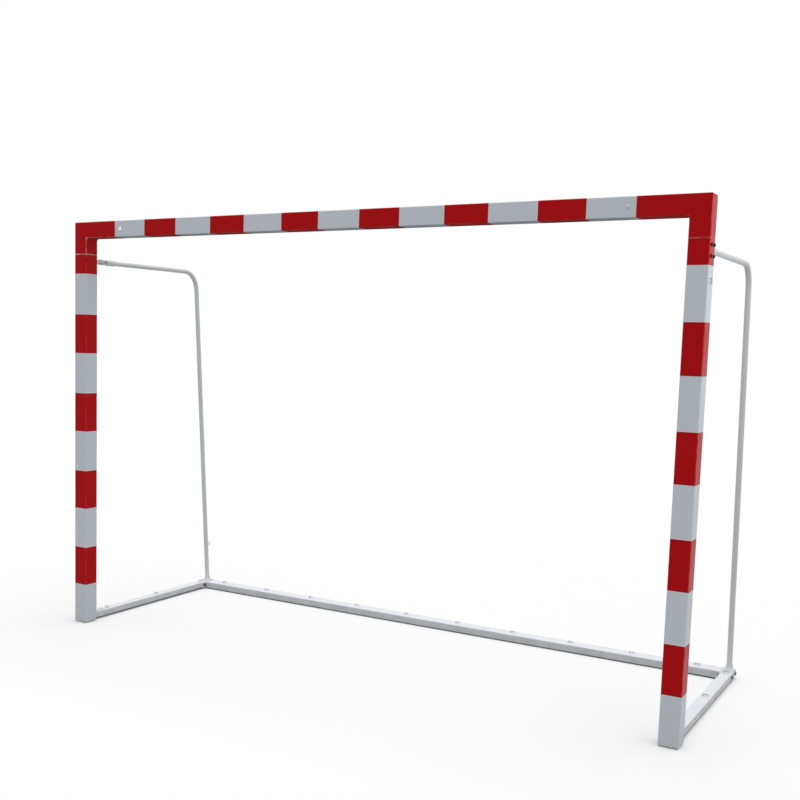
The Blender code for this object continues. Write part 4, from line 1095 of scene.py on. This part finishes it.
def spread(first, last, count):
    return [first + (last - first) * index / (count - 1) for index in range(count)]


# %% [markdown]
# Eight hooks are on the back of the crossbar and ten on the rear bar, evenly spread. Each post has
# one near the top of its outer side, and each side bar has three.

# %% Hooks of the bars and posts
BAR_HOOK_X = BAR_HALF - 0.217
REAR_HOOK_X = rear_high.x - 0.113
POST_HOOK_Y = FRONT_Y + 0.026
POST_HOOK_Z = SEAM_Z - 0.145
SIDE_HOOK_Y = (HINGE_Y + 0.050, GOAL_BACK_Y - 0.095)

roots = [(x - HOOK_SPAN / 2, BACK_Y, BAR_Z) for x in spread(-BAR_HOOK_X, BAR_HOOK_X, 8)]
add_hooks("crossbar_net_hooks", STANDING, roots, BACKWARDS, RIGHTWARDS, 1.7)
roots = [(x - HOOK_SPAN / 2, REAR_MID_Y, REAR_TOP_Z) for x in spread(-REAR_HOOK_X, REAR_HOOK_X, 10)]
add_hooks("rear_bar_net_hooks", STANDING, roots, UPWARDS, RIGHTWARDS, 1.3)
for side, label in SIDES:
    roots = [(side * OUTER_X, POST_HOOK_Y, POST_HOOK_Z)]
    add_hooks(f"{label}_post_net_hook", STANDING, roots, (side, 0, 0), DOWNWARDS, span=0.018)
    roots = [(side * POST_X - HOOK_SPAN / 2, y, SIDE_TOP_Z) for y in spread(*SIDE_HOOK_Y, 3)]
    add_hooks(f"{label}_side_bar_net_hooks", f"{label}_side_frame", roots, UPWARDS, RIGHTWARDS, 2.1)

# %% [markdown]
# ## Screws of the corner pieces
#
# Four black socket screws on the outer side of each post hold the sleeve inside. The knurl is a
# radius that goes in and out with the angle, and the socket is a ring of the same points drawn to a
# hexagon. Each sleeve in the crossbar has one button screw; the right one was painted over.

# %% Screws
SCREW_SIDES = 72
SHANK_R = 0.0034
SHANK_END = -0.012
KNURLS = 36
KNURL_DEPTH = 0.00035
SCREW_R = 0.0062
SCREW_H = 0.0060
SOCKET_FLATS = 0.0050
SOCKET_DEPTH = 0.0032
BUTTON_FLATS = 0.0047


def knurled(angle):
    return SCREW_R - KNURL_DEPTH * (0.5 - 0.5 * math.cos(KNURLS * angle))


SOCKET_SCREW = [
    (SHANK_R, SHANK_END), (SHANK_R, 0.0), (SCREW_R - 0.0003, 0.0), (SCREW_R, 0.0004),
    (knurled, 0.0009), (knurled, SCREW_H - 0.0012), (SCREW_R - 0.0002, SCREW_H - 0.0008),
    (SCREW_R - 0.0009, SCREW_H), (0.0035, SCREW_H),
    (hexagon(SOCKET_FLATS + 0.0004), SCREW_H - 0.0002), (hexagon(SOCKET_FLATS), SCREW_H - 0.0005),
    (hexagon(SOCKET_FLATS), SCREW_H - SOCKET_DEPTH), (0.0012, SCREW_H - SOCKET_DEPTH - 0.0006),
]
BUTTON_SCREW = [
    (SHANK_R, SHANK_END), (SHANK_R, 0.0), (0.0085, 0.0), (0.0085, 0.0003), (0.0081, 0.0008),
    (0.0070, 0.00145), (0.0056, 0.0020), (0.0042, 0.0023), (0.0034, 0.0024),
    (hexagon(BUTTON_FLATS + 0.0003), 0.0022), (hexagon(BUTTON_FLATS), 0.0019),
    (hexagon(BUTTON_FLATS), 0.0006), (0.0010, 0.0003),
]
BUTTON_FINISH = {"left": bright_zinc, "right": bar_enamel}


def box_middle(node):
    low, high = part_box(node)
    return (low + high) / 2


for side, label in SIDES:
    for number in range(1, 5):
        node = f"{label}_post_screw_{number}"
        spot = box_middle(node)
        place = standing(side * (OUTER_X + GAP), spot.y, spot.z, (side, 0, 0), UPWARDS)
        add_piece(f"{label}_post_socket_screw_{number}",
                  build(turned(place, SOCKET_SCREW, SCREW_SIDES)), STANDING, black_oxide, node)
    node = f"{label}_crossbar_screw"
    place = standing(box_middle(node).x, FRONT_Y - GAP, BAR_Z, (0, -1, 0), RIGHTWARDS)
    add_piece(f"{label}_crossbar_button_screw", build(turned(place, BUTTON_SCREW, SCREW_SIDES)),
              STANDING, BUTTON_FINISH[label], node)

# %% [markdown]
# ## Foot caps
#
# A plastic cap closes the foot of each post. Its bottom is chamfered, so that the post does not rock
# on its edges, and a hollow plug grips the inside of the tube.

# %% Foot caps
CAP_CHAMFER = 0.008
CAP_FLANGE = 0.012
PLUG_SIDE = PROFILE - 2 * PROFILE_WALL - 2 * GAP
PLUG_EDGE = 0.0025
PLUG_WALL = 0.006
PLUG_LENGTH = 0.030
CAP_LEVELS = [(0.0, CAP_CHAMFER), (CAP_CHAMFER - EASE, EASE), (CAP_CHAMFER, 0.0),
              (CAP_FLANGE - 0.0004, 0.0), (CAP_FLANGE, 0.0005)]
PLUG_LEVELS = eased(CAP_FLANGE, CAP_FLANGE + PLUG_LENGTH, 0.0006)
for side, label in SIDES:
    place = shift(side * POST_X, POST_Y, 0.0)
    add_piece(f"{label}_foot_cap", build(stack(place, CAP_LEVELS, SQUARE)), STANDING, cap_plastic,
              f"{label}_post_cap")
    plug = stack(place, PLUG_LEVELS, (PLUG_SIDE, PLUG_SIDE, PLUG_EDGE), PLUG_WALL)
    add_piece(f"{label}_foot_cap_plug", build(plug), STANDING, cap_plastic)

# %% [markdown]
# ## Upper hinges
#
# A steel tongue is welded to the back of the post. The fork at the end of the support tube takes it
# between two ears, and a rivet-like pin goes through all of them. Bores and slots are cut with
# booleans, as a drill and a saw cut the real ones, and the edges can be broken afterwards.

# %% Carving tools
FILED_ANGLE = math.radians(34)


def box_cutter(bm, low, high):
    size = Matrix.Diagonal((*(Vector(high) - Vector(low)), 1.0))
    bmesh.ops.create_cube(bm, size=1.0, matrix=shift(*((Vector(low) + Vector(high)) / 2)) @ size)


def carve(blank, *cutters):
    """A bmesh of the blank less its cutters; the objects that made it are removed."""
    for cutter in cutters:
        cut = blank.modifiers.new("cut", "BOOLEAN")
        cut.solver = "EXACT"
        cut.operation = "DIFFERENCE"
        cut.object = cutter
    bpy.context.view_layer.update()
    seen = bpy.context.evaluated_depsgraph_get()
    bm = bmesh.new()
    bm.from_mesh(bpy.data.meshes.new_from_object(blank.evaluated_get(seen)))
    for obj in (blank, *cutters):
        bpy.data.objects.remove(obj, do_unlink=True)
    bmesh.ops.remove_doubles(bm, verts=bm.verts, dist=0.00002)
    return bm


def file_edges(bm, width):
    """Break the sharp edges of a carved shape."""
    bmesh.ops.dissolve_limit(bm, angle_limit=0.001, verts=bm.verts, edges=bm.edges)
    sharp = [edge for edge in bm.edges if edge.calc_face_angle(0.0) > FILED_ANGLE]
    bmesh.ops.bevel(bm, geom=sharp, offset=width, segments=2, profile=0.5, affect="EDGES",
                    clamp_overlap=True)


# %% [markdown]
# The tongue is a plate with a round nose that widens towards the post, with a bead of weld above and
# below. The pin through it has the same flat round head at both ends.

# %% Tongue and pin
PIN_R = 0.006
BORE_R = PIN_R + GAP
TONGUE_HALF = 0.015
TONGUE_WIDE = 0.021
TONGUE_ROOT = BACK_Y + GAP - HINGE_Y
TONGUE_SHOULDER = TONGUE_ROOT + 0.012
TONGUE_EDGE = 0.0006
TONGUE_WELD_Y = BACK_Y + 0.0012
TONGUE_BEAD = 0.0020
NOSE = [math.pi * step / 24 for step in range(25)]
TONGUE = [
    (TONGUE_WIDE, TONGUE_ROOT), (TONGUE_HALF, TONGUE_SHOULDER),
    *[(TONGUE_HALF * math.cos(angle), TONGUE_HALF * math.sin(angle)) for angle in NOSE],
    (-TONGUE_HALF, TONGUE_SHOULDER), (-TONGUE_WIDE, TONGUE_ROOT),
]
FORK_FLAT = 0.0125
RIVET_SEAT = FORK_FLAT + GAP
RIVET_HEAD = [(0.0020, 0.0030), (0.0060, 0.0029), (0.0082, 0.0024), (0.0096, 0.0015),
              (0.0100, 0.0008), (0.0100, 0.0), (PIN_R, 0.0)]
RIVET = [(radius, -(RIVET_SEAT + height)) for radius, height in RIVET_HEAD]
RIVET += [(radius, RIVET_SEAT + height) for radius, height in reversed(RIVET_HEAD)]


def add_tongue(side, label):
    x = side * POST_X
    place = shift(x, HINGE_Y, ARM_Z)
    blank = solid("tongue_blank", build(plate(place, TONGUE, TONGUE_HALF_THICK, TONGUE_EDGE)))
    bore = solid("tongue_bore", build(turned(place, [(BORE_R, -0.02), (BORE_R, 0.02)])))
    add_piece(f"{label}_hinge_tongue", carve(blank, bore), STANDING, plain_coat,
              f"{label}_upper_hinge_tongue")
    seams = []
    for face in (-1, 1):
        ends = [(x + edge * TONGUE_WIDE, TONGUE_WELD_Y, ARM_Z + face * TONGUE_HALF_THICK)
                for edge in (-1, 1)]
        seams.append(bead(*ends, TONGUE_BEAD, side + face))
    add_piece(f"{label}_hinge_tongue_weld", build(*seams), STANDING, plain_coat)


# %% [markdown]
# The fork is made as in a workshop: a round bar, less a slot for the tongue, a flat above and below,
# a socket for the tube and a bore for the pin. A weld closes the joint with the tube.

# %% Fork
TUBE_R = 0.0125
SOCKET_R = TUBE_R + GAP
FORK_R = SOCKET_R + 0.0027
FORK_EDGE = 0.0008
FORK_NOSE = 0.018
FORK_BACK = 0.090
SLOT_HALF = 0.0057
SLOT_END = 0.030
FLAT_END = 0.034
FORK_FILED = 0.0005
FORK_BEAD = 0.0018
CLEAR = 0.03
FORK_BAR = [(FORK_R - FORK_EDGE, -FORK_NOSE), (FORK_R, FORK_EDGE - FORK_NOSE),
            (FORK_R, FORK_BACK - FORK_EDGE), (FORK_R - FORK_EDGE, FORK_BACK)]
FORK_SOCKET = [(SOCKET_R, 0.040), (SOCKET_R, FORK_BACK + 0.01)]
FORK_CUTS = ((-SLOT_HALF, SLOT_HALF, SLOT_END), (FORK_FLAT, CLEAR, FLAT_END),
             (-CLEAR, -FORK_FLAT, FLAT_END))


def add_fork(side, label):
    x = side * POST_X
    body = f"{label}_side_frame"
    along_tube = standing(x, HINGE_Y, ARM_Z, *ALONG_Y)
    blank = solid("fork_blank", build(turned(along_tube, FORK_BAR, 64)))
    bm = bmesh.new()
    for low, high, end in FORK_CUTS:
        box_cutter(bm, (x - CLEAR, HINGE_Y - CLEAR, ARM_Z + low),
                   (x + CLEAR, HINGE_Y + end, ARM_Z + high))
    slots = solid("fork_slots", bm)
    socket = solid("fork_socket", build(turned(along_tube, FORK_SOCKET, 64)))
    bore = turned(shift(x, HINGE_Y, ARM_Z), [(BORE_R, -CLEAR), (BORE_R, CLEAR)])
    bm = carve(blank, slots, socket, solid("fork_bore", build(bore)))
    file_edges(bm, FORK_FILED)
    add_piece(f"{label}_fork", bm, body, plain_coat, f"{label}_hinge_fork")
    place = standing(x, HINGE_Y + FORK_BACK + 0.0004, ARM_Z, *ALONG_Y)
    weld = ring_bead(place, TUBE_R + 0.0004, FORK_BEAD, side, 60)
    add_piece(f"{label}_fork_weld", build(weld), body, plain_coat)


for side, label in SIDES:
    add_tongue(side, label)
    add_piece(f"{label}_hinge_rivet", build(turned(shift(side * POST_X, HINGE_Y, ARM_Z), RIVET)),
              STANDING, zinc, f"{label}_upper_hinge_pin")
    add_fork(side, label)

# %% [markdown]
# ## Lower hinges
#
# A folded bracket on the foot of the post holds the side bar between two ears, with a headed pin
# through both. Its outline is drawn from the side and given a width; then the pin's bore is cut. Two
# beads of weld run down its edges and one along its top.

# %% Lower hinges
EAR = 0.004
EAR_HALF = PIN_R + 0.012
EAR_LOW_Z = SIDE_LOW_Z - GAP - EAR
EAR_HIGH_Z = SIDE_TOP_Z + GAP
EAR_TIP_Y = HINGE_Y + EAR_HALF
BRACKET_Y = BACK_Y + GAP
BRACKET_BACK_Y = BRACKET_Y + 0.005
BRACKET_TOP_Z = EAR_HIGH_Z + EAR + 0.026
BRACKET_WELD_Y = BACK_Y + 0.0010
BRACKET_WELD_Z = 0.016
BRACKET_BEAD = 0.0018
BRACKET = [
    (BRACKET_Y, EAR_LOW_Z), (EAR_TIP_Y, EAR_LOW_Z), (EAR_TIP_Y, EAR_LOW_Z + EAR),
    (BRACKET_BACK_Y, EAR_LOW_Z + EAR), (BRACKET_BACK_Y, EAR_HIGH_Z), (EAR_TIP_Y, EAR_HIGH_Z),
    (EAR_TIP_Y, EAR_HIGH_Z + EAR), (BRACKET_BACK_Y, EAR_HIGH_Z + EAR),
    (BRACKET_BACK_Y, BRACKET_TOP_Z), (BRACKET_Y, BRACKET_TOP_Z),
]
HEAD_Z = EAR_HIGH_Z + EAR + GAP
TAIL_Z = EAR_LOW_Z - GAP
FOOT_PIN = [
    (0.0020, HEAD_Z + 0.0030), (0.0060, HEAD_Z + 0.0029), (0.0084, HEAD_Z + 0.0022),
    (0.0097, HEAD_Z + 0.0012), (0.0100, HEAD_Z + 0.0005), (0.0100, HEAD_Z), (PIN_R, HEAD_Z),
    (PIN_R, TAIL_Z), (0.0080, TAIL_Z), (0.0080, TAIL_Z - 0.0012), (0.0072, TAIL_Z - 0.0020),
    (0.0020, TAIL_Z - 0.0020),
]
for side, label in SIDES:
    x = side * POST_X
    place = standing(x, 0.0, 0.0, *ALONG_X)
    blank = solid("bracket_blank", build(plate(place, BRACKET, EAR_HALF, 0.0005)))
    bore = turned(shift(x, HINGE_Y, 0.0), [(BORE_R, -0.01), (BORE_R, 0.06)])
    add_piece(f"{label}_foot_bracket", carve(blank, solid("bracket_bore", build(bore))), STANDING,
              plain_coat, f"{label}_lower_hinge_bracket")
    tops = [(x + edge * EAR_HALF, BRACKET_WELD_Y, BRACKET_TOP_Z) for edge in (-1, 1)]
    seams = [bead((*top[:2], BRACKET_WELD_Z), top, BRACKET_BEAD, edge * side)
             for edge, top in zip((-1, 1), tops)]
    add_piece(f"{label}_foot_bracket_weld", build(*seams, bead(*tops, BRACKET_BEAD)), STANDING,
              plain_coat)
    add_piece(f"{label}_foot_pin", build(turned(shift(x, HINGE_Y, 0.0), FOOT_PIN)), STANDING, zinc,
              f"{label}_lower_hinge_pin")

# %% [markdown]
# ## Ground frame
#
# Two side bars and one rear bar of flat steel tube lie on the ground. The same section tool makes
# them, with thin plastic caps in the ends of the side bars. The side bars lie 5 mm higher than the
# rear bar, which stands on its rubber pads.

# %% Side bars and their caps
BAR_WALL = 0.0025
BAR_EDGE = 0.003
CAP_THICK = 0.002
PLUG_INSET = BAR_WALL + GAP
SIDE_SECTION = (SIDE_WIDTH, SIDE_HEIGHT, BAR_EDGE)
levels = eased(SIDE_FRONT_Y + CAP_THICK + GAP, GOAL_BACK_Y - CAP_THICK - GAP)
for side, label in SIDES:
    body = f"{label}_side_frame"
    place = standing(side * POST_X, 0.0, SIDE_Z, *ALONG_Y)
    tube = stack(place, levels, SIDE_SECTION, BAR_WALL)
    add_piece(f"{label}_side_bar_profile", build(tube), body, side_coat,
              f"{label}_side_ground_bar")
    for word, outer, way in (("front", SIDE_FRONT_Y, 1), ("rear", GOAL_BACK_Y, -1)):
        inner = outer + way * CAP_THICK
        plug = stack(place, [(outer, 0.0009), (outer + way * 0.0004, 0.0003),
                             (outer + way * 0.0009, 0.0), (inner, 0.0), (inner, PLUG_INSET),
                             (inner + way * 0.0090, PLUG_INSET),
                             (inner + way * 0.0100, PLUG_INSET + 0.0008)], SIDE_SECTION)
        add_piece(f"{label}_side_bar_{word}_plug", build(plug), body, cap_plastic,
                  f"{label}_side_bar_{word}_cap")

# %% [markdown]
# ## Net supports
#
# Each support is one bent tube of 25 mm: back from the fork, round a bend of 110 mm, and down with a
# slight lean to a foot on the side bar. One long hook sits low on its back.

# %% Net supports
LEG_LEAN = 0.0792
BEND_R = 0.110
LEG_TOP_Y = HINGE_Y + 0.0403
LEG_FOOT_Y = GOAL_BACK_Y - 0.028
LEG_FOOT_Z = SIDE_TOP_Z + GAP + 0.003
LEG_HOOK_Z = 0.270


def leg_y(z):
    return LEG_FOOT_Y - LEG_LEAN * (z - LEG_FOOT_Z)


def add_support(side, label):
    x = side * POST_X
    body = f"{label}_side_frame"
    corners = [(x, LEG_TOP_Y, ARM_Z), (x, leg_y(ARM_Z), ARM_Z), (x, LEG_FOOT_Y, LEG_FOOT_Z + GAP)]
    tube = swept(rounded_path(corners, BEND_R, 40), TUBE_R, 48, (False, False))
    add_piece(f"{label}_support_tube", build(tube), body, plain_coat, f"{label}_net_support_tube")
    root = (x, leg_y(LEG_HOOK_Z) + TUBE_R, LEG_HOOK_Z)
    add_hooks(f"{label}_leg_net_hook", body, [root], BACKWARDS, DOWNWARDS, span=0.016, rise=0.024,
              tip=0.014)


# %% [markdown]
# The foot is a plate with rounded upper edges and a collar that flares like a trumpet where it meets
# the plate, so its outline is a power curve. It is welded to the bar along two edges.

# %% Feet of the net supports
FOOT_THICK = 0.005
FOOT_EDGE = 0.0040
FOOT_BEAD = 0.0016
FOOT_LEVELS = [(0.0, 0.0008), (0.0008, 0.0), (FOOT_THICK - 0.0015, 0.0),
               (FOOT_THICK - 0.0008, 0.0003), (FOOT_THICK - 0.0002, 0.0009), (FOOT_THICK, 0.0018)]
COLLAR_HIGH = 0.020
COLLAR_TOP_R = SOCKET_R + 0.0022
COLLAR_FLARE = 0.0045
COLLAR_POWER = 2.6
COLLAR_RIM = FOOT_THICK + COLLAR_HIGH
COLLAR_ROOT = FOOT_THICK - 0.0005
TRUMPET = [(COLLAR_TOP_R + COLLAR_FLARE * (1.0 - step / 12) ** COLLAR_POWER,
            FOOT_THICK + (COLLAR_HIGH - 0.0006) * step / 12) for step in range(13)]
COLLAR = [
    (COLLAR_TOP_R + COLLAR_FLARE, COLLAR_ROOT), *TRUMPET, (COLLAR_TOP_R - 0.0006, COLLAR_RIM),
    (TUBE_R + 0.0010, COLLAR_RIM), (TUBE_R + 0.0005, COLLAR_RIM - 0.0008),
    (TUBE_R + 0.0002, COLLAR_RIM - 0.004), (TUBE_R - 0.0010, COLLAR_ROOT),
]


def add_foot(side, label):
    body = f"{label}_side_frame"
    low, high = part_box(f"{label}_support_foot")
    place = shift((low.x + high.x) / 2, (low.y + high.y) / 2, low.z)
    base = stack(place, FOOT_LEVELS, (high.x - low.x, high.y - low.y, FOOT_EDGE))
    add_piece(f"{label}_flared_foot", build(base, turned(place, COLLAR, 64, True)), body, plain_coat,
              f"{label}_support_foot")
    z = low.z + 0.0008
    seams = [bead((low.x + 0.002, y, z), (high.x - 0.002, y, z), FOOT_BEAD, side + y)
             for y in (low.y, high.y)]
    add_piece(f"{label}_flared_foot_weld", build(*seams), body, plain_coat)


for side, label in SIDES:
    add_support(side, label)
    add_foot(side, label)

# %% [markdown]
# ## Rear bar and its corners
#
# The rear bar is the widest tube. At each end it has a welded plate that the side bar is bolted to.

# %% Rear bar and end plates
PLATE_THICK = 0.004
PLATE_EDGE = 0.0015
PLATE_BEAD, PLATE_TOP_BEAD = 0.0018, 0.0016
PLATE_OUTER_X = plate_high.x
PLATE_INNER_X = PLATE_OUTER_X - PLATE_THICK
PLATE_WELD_X = PLATE_INNER_X - 0.0006
PLATE_SECTION = (plate_high.y - plate_low.y, plate_high.z - plate_low.z, PLATE_EDGE)
tube = stack(standing(0.0, REAR_MID_Y, REAR_Z, *ALONG_X), eased(rear_low.x, rear_high.x),
             (REAR_WIDTH, REAR_HEIGHT, BAR_EDGE), BAR_WALL)
add_piece("rear_bar_profile", build(tube), STANDING, rear_coat, "rear_ground_bar")


def add_end_plate(side, label):
    middle = (plate_low + plate_high) / 2
    place = standing(0.0, middle.y, middle.z, *ALONG_X)
    levels = eased(*sorted((side * PLATE_INNER_X, side * PLATE_OUTER_X)), 0.0005)
    add_piece(f"{label}_corner_plate", build(stack(place, levels, PLATE_SECTION)), STANDING,
              plain_coat, f"{label}_rear_bar_end_plate")
    x = side * PLATE_WELD_X
    y = rear_low.y - 0.0004
    front = bead((x, y, REAR_LOW_Z + 0.003), (x, y, REAR_TOP_Z - 0.002), PLATE_BEAD, side)
    top = bead((x, rear_low.y + 0.002, REAR_TOP_Z), (x, rear_high.y - 0.002, REAR_TOP_Z),
               PLATE_TOP_BEAD, side + 1)
    add_piece(f"{label}_corner_plate_weld", build(front, top), STANDING, plain_coat)


# %% [markdown]
# Two hexagon bolts come through the side bar from outside into welded nuts. The rim of a hexagon is
# cut off by a cone: the height of each rim point falls with its distance from the axis. The tips of
# the bolts have lost their black and show zinc.

# %% Bolts and nuts
BOLT_SIDES = 72
BOLT_R = 0.004
HEAD_H = 0.0055
HEAD_FLATS = 0.0130
HEAD_X = POST_X + SIDE_WIDTH / 2 + GAP
BOLT_TIP = PLATE_INNER_X - 0.0049 - HEAD_X
BARE_TIP_X = PLATE_INNER_X - 0.0040
NUT_H = 0.0080
NUT_FLATS = 0.0145
NUT_BEAD = 0.0012
CONE_SLOPE = 0.50


def cone_cut(flats, height):
    """Height of the rim of a hexagon under its chamfer."""
    shape = hexagon(flats)
    return lambda angle: height - 0.0002 - CONE_SLOPE * (shape(angle) - flats / 2)


BOLT = [
    (BOLT_R - 0.0008, BOLT_TIP), (BOLT_R, BOLT_TIP + 0.0010), (BOLT_R, 0.0),
    (HEAD_FLATS / 2 - 0.0002, 0.0), (HEAD_FLATS / 2 - 0.0002, 0.0003),
    (hexagon(HEAD_FLATS), 0.0004), (hexagon(HEAD_FLATS), cone_cut(HEAD_FLATS, HEAD_H)),
    (HEAD_FLATS / 2 - 0.0004, HEAD_H), (0.0030, HEAD_H), (0.0026, HEAD_H - 0.0002),
    (0.0010, HEAD_H - 0.0002),
]
NUT = [
    (NUT_FLATS / 2 - 0.0003, 0.0), (hexagon(NUT_FLATS), 0.0004),
    (hexagon(NUT_FLATS), cone_cut(NUT_FLATS, NUT_H)), (NUT_FLATS / 2 - 0.0004, NUT_H),
    (BOLT_R + 0.0011, NUT_H), (BOLT_R + 0.0004, NUT_H - 0.0007), (BOLT_R + 0.0004, 0.0),
]


def add_bolt_and_nut(side, label, word):
    node = f"{label}_corner_bolt_{word}"
    y = box_middle(node).y
    place = standing(side * HEAD_X, y, SIDE_Z, (side, 0, 0), UPWARDS)
    bolt = add_piece(f"{label}_hexagon_bolt_{word}", build(turned(place, BOLT, BOLT_SIDES)),
                     f"{label}_side_frame", black_oxide, node)
    bolt.data.materials.append(zinc)
    for face in bolt.data.polygons:
        if abs(face.center.x) < BARE_TIP_X:
            face.material_index = 1
    place = standing(side * PLATE_INNER_X, y, SIDE_Z, (-side, 0, 0), UPWARDS)
    weld = ring_bead(place, NUT_FLATS / 2, NUT_BEAD, side + y, 48)
    add_piece(f"{label}_corner_nut_{word}", build(turned(place, NUT, BOLT_SIDES, True), weld),
              STANDING, black_oxide)


# %% [markdown]
# A rubber pad under each end of the rear bar has fine ribs below, so that the goal does not slide.
# Its outline is drawn from the side, rib by rib, and given the pad's length.

# %% Ribbed pads
RIB_STEPS = 44
RIB_DEPTH = 0.0008
PAD_CHAMFER = 0.0012
PAD_EASE = 0.0010


def add_pad(label):
    low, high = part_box(f"{label}_rubber_pad")
    half = (high.y - low.y) / 2
    flat = half - PAD_CHAMFER
    outline = [(2 * flat * step / RIB_STEPS - flat, RIB_DEPTH if step % 4 in (1, 2) else 0.0)
               for step in range(RIB_STEPS + 1)]
    outline += [(half, PAD_CHAMFER), (half, high.z - PAD_CHAMFER), (half - PAD_EASE, high.z),
                (PAD_EASE - half, high.z), (-half, high.z - PAD_CHAMFER), (-half, PAD_CHAMFER)]
    place = standing((low.x + high.x) / 2, REAR_MID_Y, 0.0, *ALONG_X)
    pad = plate(place, outline, (high.x - low.x) / 2, 0.0004)
    add_piece(f"{label}_ribbed_pad", build(pad), STANDING, rubber, f"{label}_rubber_pad")


for side, label in SIDES:
    add_end_plate(side, label)
    for word in ("front", "rear"):
        add_bolt_and_nut(side, label, word)
    add_pad(label)

# %% [markdown]
# ## Pieces that keep their plain shape
#
# The sleeves inside the joints and the washers inside the forks are hardly seen, and their plain
# shape is right. They keep their solids and get a finish.

# %% Finishes of the kept solids
KEPT = {"sleeve": zinc, "washer": nylon}
for name, obj in frame["nodes"].items():
    material = KEPT.get(name.rsplit("_", 1)[-1])
    if material:
        obj.data.materials.clear()
        obj.data.materials.append(material)
        print("kept:", name, "in", material.name)
